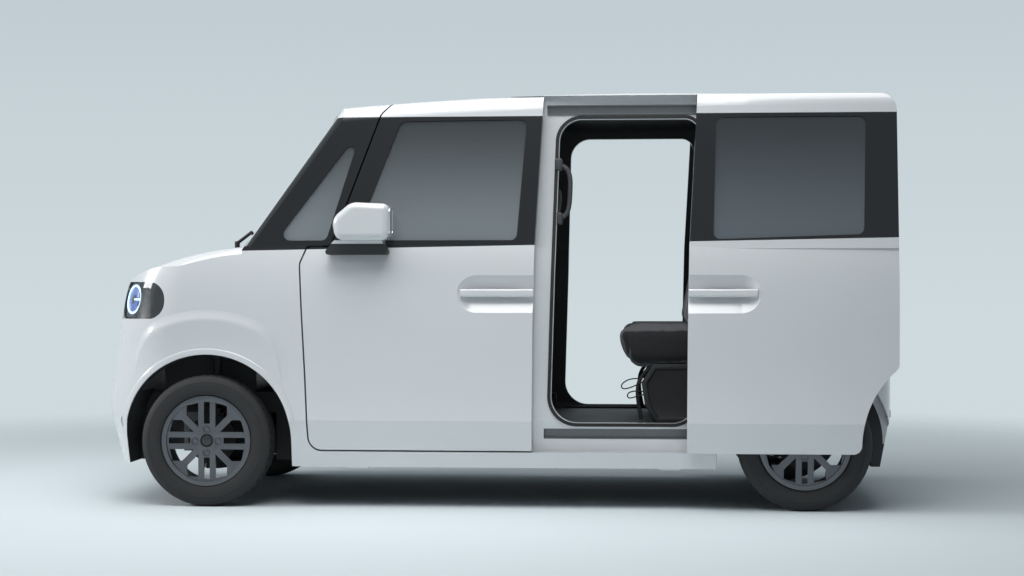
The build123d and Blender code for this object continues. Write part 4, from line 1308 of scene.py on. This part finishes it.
@dataclass
class Openings:
    """Trim in the sliding door openings: a grab grip, step plates and the front seats' belts."""

    finishes: Finishes
    pillar_x: float = -0.288
    grip_z: tuple[float, float] = (1.222, 1.452)
    grip_y: float = 0.590
    grip_out: float = 0.046
    grip_lean: float = -0.029
    grip_radius: float = 0.0105
    step_x: tuple[float, float] = (-0.845, -0.270)
    step_y: tuple[float, float] = (0.560, 0.652)
    step_z: float = 0.347
    ribs: int = 4
    belt_half: float = 0.023
    belt_y: float = 0.566
    belt_ahead: float = 0.105

    def build(self) -> None:
        """Models the grip on the kerb side, and the trim that both sides have."""
        Bench.dress(self._grip(), self.finishes.grip, "black_trim")
        step, belt = self._step(), self._belt()
        Bench.pair(step, self.finishes.black, "black_trim")
        Bench.pair(belt, self.finishes.webbing, "seat_fabric")

    def _grip(self) -> Piece:
        """A grab grip on the middle pillar: a bowed bar on two feet."""
        low, high = self.grip_z
        x, y, out, lean = self.pillar_x, self.grip_y, self.grip_out, self.grip_lean
        bar = Bench.tube(
            "grab_grip",
            [
                (x + 0.012, y, low), (x - out * 0.55, y, low + 0.004), (x - out, y, low + 0.040),
                (x - out - 0.004 + lean * 0.05, y, (low + high) / 2), (x - out + lean * 0.2, y, high - 0.050),
                (x - out * 0.6 + lean * 0.2, y, high - 0.008), (x + 0.010 + lean * 0.2, y, high),
            ],
            self.grip_radius,
        )
        feet = []
        for z in self.grip_z:
            foot = Bench.box("foot", (x - 0.018, y - 0.020, z - 0.026), (x + 0.014, y + 0.020, z + 0.026))
            Bench.round_edges(foot, 0.008, 3)
            feet.append(foot)
        return Bench.join("grab_grip", [bar, *feet])

    def _step(self) -> Piece:
        """The step plate inside the sill, with long ribs."""
        low_x, high_x = self.step_x
        low_y, high_y = self.step_y
        plate = Bench.box("step_plate", (low_x, low_y, self.step_z), (high_x, high_y, self.step_z + 0.008))
        Bench.recess(plate, points_to("+z"), 0.010, 0.003)
        Bench.round_edges(plate, 0.0015, 2)
        pitch = (high_y - low_y - 0.03) / self.ribs
        strips = []
        for i in range(self.ribs):
            y = low_y + 0.022 + pitch * i
            low = (low_x + 0.03, y, self.step_z + 0.004)
            strip = Bench.box("rib", low, (high_x - 0.03, y + 0.006, self.step_z + 0.0075))
            Bench.round_edges(strip, 0.0014, 2)
            strips.append(strip)
        return Bench.join("step_plate", [plate, *strips])

    def _belt(self) -> Piece:
        """A front seat belt, from its loop on the pillar to the sill."""
        half, y = self.belt_half, self.belt_y
        x = self.pillar_x + self.belt_ahead
        strap = Bench.plate(
            "seat_belt",
            [(x - half, y + 0.012, 0.372), (x + half, y + 0.012, 0.372), (x + half - 0.012, y - 0.030, 1.395),
             (x - half - 0.012, y - 0.030, 1.395)],
            (0.0, -0.0016, 0.0),
        )
        loop = Bench.box("belt_loop", (x - 0.048, y - 0.040, 1.388), (x + 0.030, y - 0.014, 1.432))
        Bench.recess(loop, points_to("-y"), 0.008, 0.004)
        Bench.round_edges(loop, 0.005, 2)
        reel = Bench.box("belt_reel", (x - 0.038, y - 0.012, 0.350), (x + 0.038, y + 0.030, 0.420))
        Bench.round_edges(reel, 0.008, 2)
        return Bench.join("seat_belt", [strap, loop, reel])


@dataclass
class DoorTrim:
    """The front doors' inner cards with pockets, arm rests and speakers, and the mirrors' glasses."""

    finishes: Finishes
    card_y: tuple[float, float] = (0.640, 0.672)
    # the card's outline in the side view: X, Z
    card: tuple[tuple[float, float], ...] = (
        (-0.050, 0.420), (0.560, 0.420), (0.600, 0.480), (0.610, 0.930), (0.560, 1.000), (-0.045, 1.010),
    )
    speaker: Point = (0.480, 0.640, 0.560)
    speaker_radius: float = 0.082
    speaker_rings: int = 5
    arm: tuple[Point, Point] = ((-0.030, 0.580, 0.760), (0.330, 0.642, 0.815))
    pocket: tuple[Point, Point] = ((-0.010, 0.606, 0.440), (0.350, 0.642, 0.560))
    glass: tuple[Point, Point] = ((0.3960, 0.766, 1.150), (0.4030, 0.856, 1.258))

    def build(self) -> None:
        """Models the left door's pieces and mirrors them onto the right door."""
        table = (
            (self._card(), self.finishes.dash, "dash_plastic", HARD),
            (self._arm(), self.finishes.cloth, "seat_fabric", SOFT),
            (self._speaker(), self.finishes.black, "black_trim", HARD),
            (self._mirror_glass(), self.finishes.mirror, "window_glass", HARD),
        )
        for left, finish, slot, crease in table:
            Bench.pair(left, finish, slot, "front_door", crease)

    def _card(self) -> Piece:
        """The moulded card with its map pocket."""
        low_y, high_y = self.card_y
        card = Bench.plate("door_card", [(x, low_y, z) for x, z in self.card], (0.0, high_y - low_y, 0.0))
        Bench.recess(card, points_to("-y"), 0.045, 0.010)
        Bench.recess(card, lambda middle, normal: normal.y < -ALONG and middle.z < 1.0, 0.060, -0.008)
        Bench.round_edges(card, 0.005, 2)
        pocket = Bench.box("pocket", *self.pocket)
        Bench.recess(pocket, points_to("+z"), 0.006, 0.070)
        Bench.round_edges(pocket, 0.004, 2)
        return Bench.join("door_card", [card, pocket])

    def _arm(self) -> Piece:
        """The arm rest, covered in the seats' cloth and thinner towards its front."""
        arm = Bench.box("arm_rest", *self.arm)
        Bench.pick(arm, points_to("+x"))
        bpy.ops.transform.resize(value=(1.0, 0.75, 0.7), center_override=(0.33, 0.642, 0.800))
        Bench.round_edges(arm, 0.018, 4)
        Bench.modify(arm, "SUBSURF", levels=1, render_levels=1)
        return arm

    def _speaker(self) -> Piece:
        """The speaker's grille: a disc of raised rings."""
        disc = Bench.drum("door_speaker", self.speaker, self.speaker_radius, 0.012, (0, -1, 0), 64)
        ring = self.speaker_radius / (self.speaker_rings * 2.4)
        for i in range(self.speaker_rings):
            depth = 0.003 if i % 2 == 0 else -0.003
            Bench.recess(disc, lambda middle, normal: normal.y < -ALONG and (
                middle - Vector(self.speaker)).xz.length < 0.004, ring, depth)
        Bench.round_edges(disc, 0.0010, 1, lambda middle, way: middle.y < self.speaker[1])
        return disc

    def _mirror_glass(self) -> Piece:
        """The glass in a door mirror's rear face."""
        glass = Bench.box("mirror_glass", *self.glass)
        Bench.round_edges(glass, 0.018, 5, points_to("x"))
        Bench.recess(glass, points_to("-x"), 0.004, 0.0012)
        return glass


@dataclass
class Cabin:
    """What lies on the dashboard: the dial hood, the screen, the vents and a tray."""

    finishes: Finishes
    wheel_y: float = -0.330
    hood: tuple[Point, Point] = ((0.665, -0.465, 1.055), (0.800, -0.195, 1.150))
    screen: tuple[Point, Point] = ((0.640, -0.115, 1.040), (0.662, 0.115, 1.185))
    tray: tuple[Point, Point] = ((0.600, 0.130, 0.900), (0.650, 0.520, 0.940))
    vents: tuple[float, ...] = (-0.500, -0.165, 0.165, 0.500)
    vent_z: float = 1.010
    vent_x: float = 0.655
    vent_half: tuple[float, float] = (0.045, 0.032)
    slats: int = 4

    def build(self) -> None:
        """Models each piece."""
        hood = Bench.box("dial_hood", *self.hood)
        Bench.pick(hood, points_to("+x"))
        bpy.ops.transform.resize(value=(1.0, 0.8, 0.45), center_override=(0.80, self.wheel_y, 1.06))
        Bench.recess(hood, points_to("-x"), 0.010, 0.045)
        Bench.round_edges(hood, 0.010, 3)
        Bench.dress(hood, self.finishes.dash, "dash_plastic")
        screen = Bench.box("dash_screen", *self.screen)
        Bench.recess(screen, points_to("-x"), 0.007, 0.0015)
        Bench.round_edges(screen, 0.004, 2)
        Bench.dress(screen, self.finishes.gloss_black, "black_trim")
        for number, y in enumerate(self.vents):
            Bench.dress(self._vent(f"dash_vent_{number}", y), self.finishes.black, "black_trim")
        shelf = Bench.box("dash_tray", *self.tray)
        Bench.recess(shelf, points_to("+z"), 0.010, 0.025)
        Bench.round_edges(shelf, 0.006, 2)
        Bench.dress(shelf, self.finishes.black, "black_trim")

    def _vent(self, name: str, y: float) -> Piece:
        """An air vent: a frame with level slats."""
        half_y, half_z = self.vent_half
        low = (self.vent_x - 0.012, y - half_y, self.vent_z - half_z)
        frame = Bench.box(name, low, (self.vent_x + 0.030, y + half_y, self.vent_z + half_z))
        Bench.recess(frame, points_to("-x"), 0.006, 0.020)
        Bench.round_edges(frame, 0.003, 2)
        parts = [frame]
        pitch = (2 * half_z - 0.016) / self.slats
        for i in range(self.slats):
            z = self.vent_z - half_z + 0.012 + pitch * i
            low = (self.vent_x - 0.008, y - half_y + 0.005, z)
            slat = Bench.box("slat", low, (self.vent_x + 0.008, y + half_y - 0.005, z + 0.003))
            Bench.round_edges(slat, 0.001, 1)
            parts.append(slat)
        return Bench.join(name, parts)


@dataclass
class Ends:
    """Trim on the nose and the tail: intake mesh, tailgate grip, stop lamp, wiper and reflectors."""

    finishes: Finishes
    nodes: dict[str, Piece]
    intake_x: float = 1.6228
    intake_half: float = 0.416
    intake_z: tuple[float, float] = (0.303, 0.427)
    bars: int = 17
    grip_z: float = 0.905
    grip_half: float = 0.150
    stop_z: float = 1.700
    stop_half: float = 0.16
    wiper_z: float = 1.135
    reflector_z: float = 0.400
    reflector_y: float = 0.545
    reflector_half: tuple[float, float] = (0.045, 0.016)
    tail_x: float = -1.68

    def build(self) -> None:
        """Models the nose's and the tail's trim."""
        Bench.dress(self._intake(), self.finishes.black, "black_trim")
        Bench.dress(self._grip(), self.finishes.gloss_black, "black_trim", "tailgate")
        Bench.dress(self._stop_lamp(), self.finishes.red_lens, "tail_lens", "tailgate")
        Bench.dress(self._wiper(), self.finishes.black, "black_trim", "tailgate")
        Bench.pair(self._reflector(), self.finishes.red_lens, "tail_lens")

    def _tail(self, node: str, y: float, z: float) -> float:
        """The X of a tail node's outer face at a place."""
        hit, place, _, _ = self.nodes[node].ray_cast(Vector((-3.0, y, z)), Vector((1.0, 0.0, 0.0)))
        return place.x if hit else self.tail_x

    def _intake(self) -> Piece:
        """The mesh at the back of the lower intake: upright bars on a dark plate."""
        low_z, high_z = self.intake_z
        x, half = self.intake_x, self.intake_half
        plate = Bench.box("intake_mesh", (x, -half, low_z), (x + 0.004, half, high_z))
        Bench.round_edges(plate, 0.001, 1)
        parts = [plate]
        pitch = 2 * half / self.bars
        for i in range(self.bars):
            y = -half + pitch * (i + 0.5)
            bar = Bench.box("bar", (x + 0.003, y - 0.004, low_z), (x + 0.022, y + 0.004, high_z))
            Bench.round_edges(bar, 0.0015, 2)
            parts.append(bar)
        return Bench.join("intake_mesh", parts)

    def _grip(self) -> Piece:
        """The tailgate's grip: a bar with a finger hollow below."""
        half, z = self.grip_half, self.grip_z
        x = self._tail("tailgate", 0.0, z)
        grip = Bench.box("tailgate_grip", (x - 0.014, -half, z - 0.028), (x + 0.012, half, z + 0.028))
        Bench.recess(grip, points_to("-z"), 0.006, 0.012)
        Bench.round_edges(grip, 0.008, 3)
        return grip

    def _stop_lamp(self) -> Piece:
        """The high stop lamp above the tailgate's glass."""
        z = self.stop_z
        x = self._tail("tailgate", 0.0, z)
        half = self.stop_half
        lamp = Bench.box("high_stop_lamp", (x - 0.006, -half, z - 0.011), (x + 0.012, half, z + 0.011))
        Bench.recess(lamp, points_to("-x"), 0.004, -0.001)
        Bench.round_edges(lamp, 0.004, 3)
        return lamp

    def _wiper(self) -> Piece:
        """The rear wiper, parked level along the glass's foot."""
        z = self.wiper_z
        x = self._tail("tailgate", 0.0, z)
        boss = Bench.drum("boss", (x - 0.010, 0.0, z), 0.022, 0.034, (1, 0, 0), 32)
        Bench.round_edges(boss, 0.005, 3, lambda middle, way: middle.x < x - 0.02)
        rise = z + 0.055
        ends = [(y, self._tail("tailgate_glass", y, rise) - 0.014) for y in (0.05, 0.18, 0.32)]
        arm = Bench.tube(
            "arm", [(x - 0.022, 0.0, z), (x - 0.024, 0.02, z + 0.03), (ends[0][1] - 0.008, 0.05, rise),
                    (ends[1][1] - 0.006, 0.18, rise)], 0.006
        )
        blade = Bench.tube("blade", [(spot, y, rise) for y, spot in ends], 0.0065)
        return Bench.join("rear_wiper", [boss, arm, blade])

    def _reflector(self) -> Piece:
        """A reflector in the rear bumper's left corner."""
        half_y, half_z = self.reflector_half
        z = self.reflector_z
        ends = []
        for y in (self.reflector_y - half_y, self.reflector_y + half_y):
            ends.append((self._tail("rear_bumper", y, z) - 0.003, y))
        outline = [(x, y, z - half_z) for x, y in ends] + [(x, y, z + half_z) for x, y in reversed(ends)]
        lamp = Bench.plate("bumper_reflector", outline, (0.020, 0.0, 0.0))
        Bench.round_edges(lamp, 0.003, 2)
        return lamp


@dataclass
class Flares:
    """The pressed flares over the front wheels: a soft swell with a crease, and a hemmed lip."""

    finishes: Finishes
    nodes: dict[str, Piece]
    panels: tuple[str, ...] = ("front_fender_left", "front_bumper")
    axle: tuple[float, float] = (FRONT_X, AXLE_Z)
    lip_radius: float = 0.3668
    lip_width: float = 0.026
    swell_radius: float = 0.572
    crease_share: float = 0.70
    crease_height: float = 0.011
    hollow: float = 1.6
    half_turn: float = 82.0
    fade: tuple[float, float] = (60.0, 24.0)
    end_fade: float = 8.0
    least_swell: float = 0.012
    sink: float = 0.0012
    sheet: float = 0.0016
    gap: float = 0.007
    columns: int = 96
    swell_rows: int = 22
    # the lip from its hem outwards: share of its width, lift off the panel
    lip: tuple[tuple[float, float], ...] = (
        (0.0, -0.0120), (0.0, 0.0030), (0.06, 0.0042), (0.70, 0.0044), (0.86, 0.0036), (1.0, 0.0010),
    )

    def build(self) -> None:
        """Models the left flare on the panels and mirrors it."""
        rows = len(self.lip) + self.swell_rows
        Bench.clear()
        bpy.ops.mesh.primitive_grid_add(x_subdivisions=self.columns, y_subdivisions=rows - 1, size=1.0)
        flare = Bench.settle("wheel_flare_left")
        across = self.columns + 1
        for index, vertex in enumerate(flare.data.vertices):
            vertex.co = self._point(index % across / self.columns, index // across)
        Bench.outward(flare)
        if flare.data.polygons[len(flare.data.polygons) // 2].normal.y < 0.0:
            Bench.pick(flare)
            bpy.ops.mesh.flip_normals()
            Bench.clear()
        Bench.modify(flare, "SOLIDIFY", thickness=self.sheet, offset=-1.0)
        for piece in (flare, Bench.twin(flare, "wheel_flare_right")):
            Bench.dress(piece, self.finishes.paint, "body_paint")

    def _point(self, along: float, row: int) -> Point:
        """A place on the flare.

        Args:
            along: The share of the way round the arch.
            row: The row, counted from the hem.

        Returns:
            The place on the left side.
        """
        turn = self.half_turn * (2.0 * along - 1.0)
        swell = self._smooth((self.fade[0] - abs(turn)) / (self.fade[0] - self.fade[1]))
        end = self._smooth((self.half_turn - abs(turn)) / self.end_fade)
        if row < len(self.lip):
            share, lift = self.lip[row]
            radius = self.lip_radius + share * self.lip_width
        else:
            share = (row - len(self.lip) + 1) / self.swell_rows
            inner = self.lip_radius + self.lip_width
            least = self.least_swell
            radius = inner + share * (least + (self.swell_radius - inner - least) * swell)
            lift = self._swell(share) * swell * self.crease_height
            lift = lift + self.lip[-1][1] * (1.0 - share) - self.sink * share
        angle = math.radians(turn)
        way = Vector((math.sin(angle), math.cos(angle)))
        probe = Vector(self.axle) + way * max(radius, self.lip_radius + self.gap / 2)
        x, z = Vector(self.axle) + way * radius
        return x, self._panel_y(*probe) + lift * end - self.sink * (1.0 - end), z

    def _swell(self, share: float) -> float:
        """The height of the swell: hollow up to the crease, then easing into the panel."""
        if share < self.crease_share:
            return (share / self.crease_share) ** self.hollow
        return ((1.0 - share) / (1.0 - self.crease_share)) ** 2

    def _panel_y(self, x: float, z: float) -> float:
        """How far out the panels stand at a place on the left side, looking across their gaps."""
        found = []
        for shift in (0.0, -self.gap, self.gap):
            start = Vector((x + shift, 1.0, z))
            hits = (self.nodes[name].ray_cast(start, Vector((0, -1, 0))) for name in self.panels)
            found.append(max((place.y for hit, place, _, _ in hits if hit), default=0.0))
        most = max(found)
        return found[0] if found[0] > most - self.gap else most

    @staticmethod
    def _smooth(share: float) -> float:
        """An eased step from 0 to 1."""
        share = min(1.0, max(0.0, share))
        return share * share * (3.0 - 2.0 * share)


@dataclass
class Studio:
    """A plain pale floor, a backdrop colour, soft lights and the camera."""

    camera_place: Point = (-0.6965, 8.70, 0.927)
    camera_yaw: float = 4.27
    lens_mm: float = 67.15
    floor_size: float = 60.0
    floor_fade: tuple[float, float] = (2.6, 6.5)
    floor_colour: Colour = (0.66, 0.73, 0.76)
    # the backdrop's colours, from straight down to straight up: place, colour
    backdrop: tuple[tuple[float, Colour], ...] = (
        (0.0, (0.50, 0.58, 0.62)), (0.49, (0.62, 0.70, 0.73)),
        (0.55, (0.56, 0.64, 0.675)), (0.64, (0.44, 0.51, 0.555)),
    )
    world_strength: float = 0.27
    # the softboxes: name, place, target, size in metres, power in watts, spread in degrees
    lights: tuple[tuple[str, Point, Point, float, float, float], ...] = (
        ("overhead", (0.6, 1.4, 5.6), (0.0, 0.2, 0.8), 6.0, 280.0, 180.0),
        ("front_key", (7.5, 1.6, 3.6), (0.0, 0.0, 0.6), 2.2, 240.0, 180.0),
        ("side_strip", (0.0, 2.7, 4.0), (0.0, 0.74, 1.25), 2.4, 8.0, 70.0),
    )

    def build(self) -> None:
        """Makes the studio."""
        self._world()
        self._floor()
        self._lights()
        self._camera()
        bpy.context.scene.view_settings.view_transform = "Standard"

    def _world(self) -> None:
        """Lights the scene softly, and shows the backdrop to the camera, to mirrors and through glass."""
        graph = Graph("studio", world=True)
        bpy.context.scene.world = graph.owner
        rise = graph.axes("Generated")[2] * 0.5 + 0.5
        seen = graph.node("ShaderNodeLightPath", output="Is Camera Ray")
        rays = seen.output.node.outputs
        for ray in ("Is Glossy Ray", "Is Transmission Ray"):
            seen = seen.most(Socket(graph, rays[ray]))
        strength = seen * (1.0 - self.world_strength) + self.world_strength
        colour = graph.node("ShaderNodeValToRGB", {"stops": self.backdrop}, {0: rise})
        graph.set(Color=colour, Strength=strength)

    def _floor(self) -> None:
        """The pale floor under the wheels."""
        bpy.ops.mesh.primitive_plane_add(size=self.floor_size)
        floor = bpy.context.object
        floor.name = "studio_floor"
        graph = Graph("studio_floor")
        cloud = graph.noise(0.3, 2.0)
        paler = scaled(self.floor_colour, 1.05)
        x, y, _ = graph.axes()
        far = ((x * x + y * y) ** 0.5).step(*self.floor_fade)
        graph.set(Base_Color=graph.mix(cloud, self.floor_colour, paler), Roughness=0.80, Alpha=1.0 - far)
        floor.data.materials.append(graph.owner)

    def _lights(self) -> None:
        """An overhead softbox, a key from the front and a fill from the camera's side."""
        for name, place, target, size, power, spread in self.lights:
            light = bpy.data.lights.new(name, "AREA")
            light.size, light.energy, light.spread = size, power, math.radians(spread)
            holder = bpy.data.objects.new(name, light)
            holder.location = place
            aim = Vector(target) - Vector(place)
            holder.rotation_euler = aim.to_track_quat("-Z", "Y").to_euler()
            bpy.context.scene.collection.objects.link(holder)

    def _camera(self) -> None:
        """The camera where the photographer stood."""
        yaw = math.radians(self.camera_yaw)
        back = Vector((-math.sin(yaw), math.cos(yaw), 0.0))
        right = Vector((-math.cos(yaw), -math.sin(yaw), 0.0))
        data = bpy.data.cameras.new("camera")
        data.lens, data.sensor_width, data.sensor_fit = self.lens_mm, 36.0, "HORIZONTAL"
        camera = bpy.data.objects.new("camera", data)
        turn = Matrix((right, Vector((0, 0, 1)), back)).transposed()
        camera.matrix_world = Matrix.Translation(self.camera_place) @ turn.to_4x4()
        bpy.context.scene.collection.objects.link(camera)
        bpy.context.scene.camera = camera


def main() -> None:
    """Builds the studio and every sub-assembly in order."""
    logging.basicConfig(level=logging.INFO, format="%(name)s %(message)s")
    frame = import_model()
    finishes = Finishes()
    finishes.dress_nodes(frame["nodes"])
    nodes = frame["nodes"]
    for assembly in (
        Wheels(finishes, nodes),
        Seats(finishes),
        Headlamps(finishes, nodes),
        Openings(finishes),
        DoorTrim(finishes),
        Cabin(finishes),
        Ends(finishes, nodes),
        Flares(finishes, nodes),
    ):
        assembly.build()
    Studio().build()


if __name__ == "__main__":
    main()
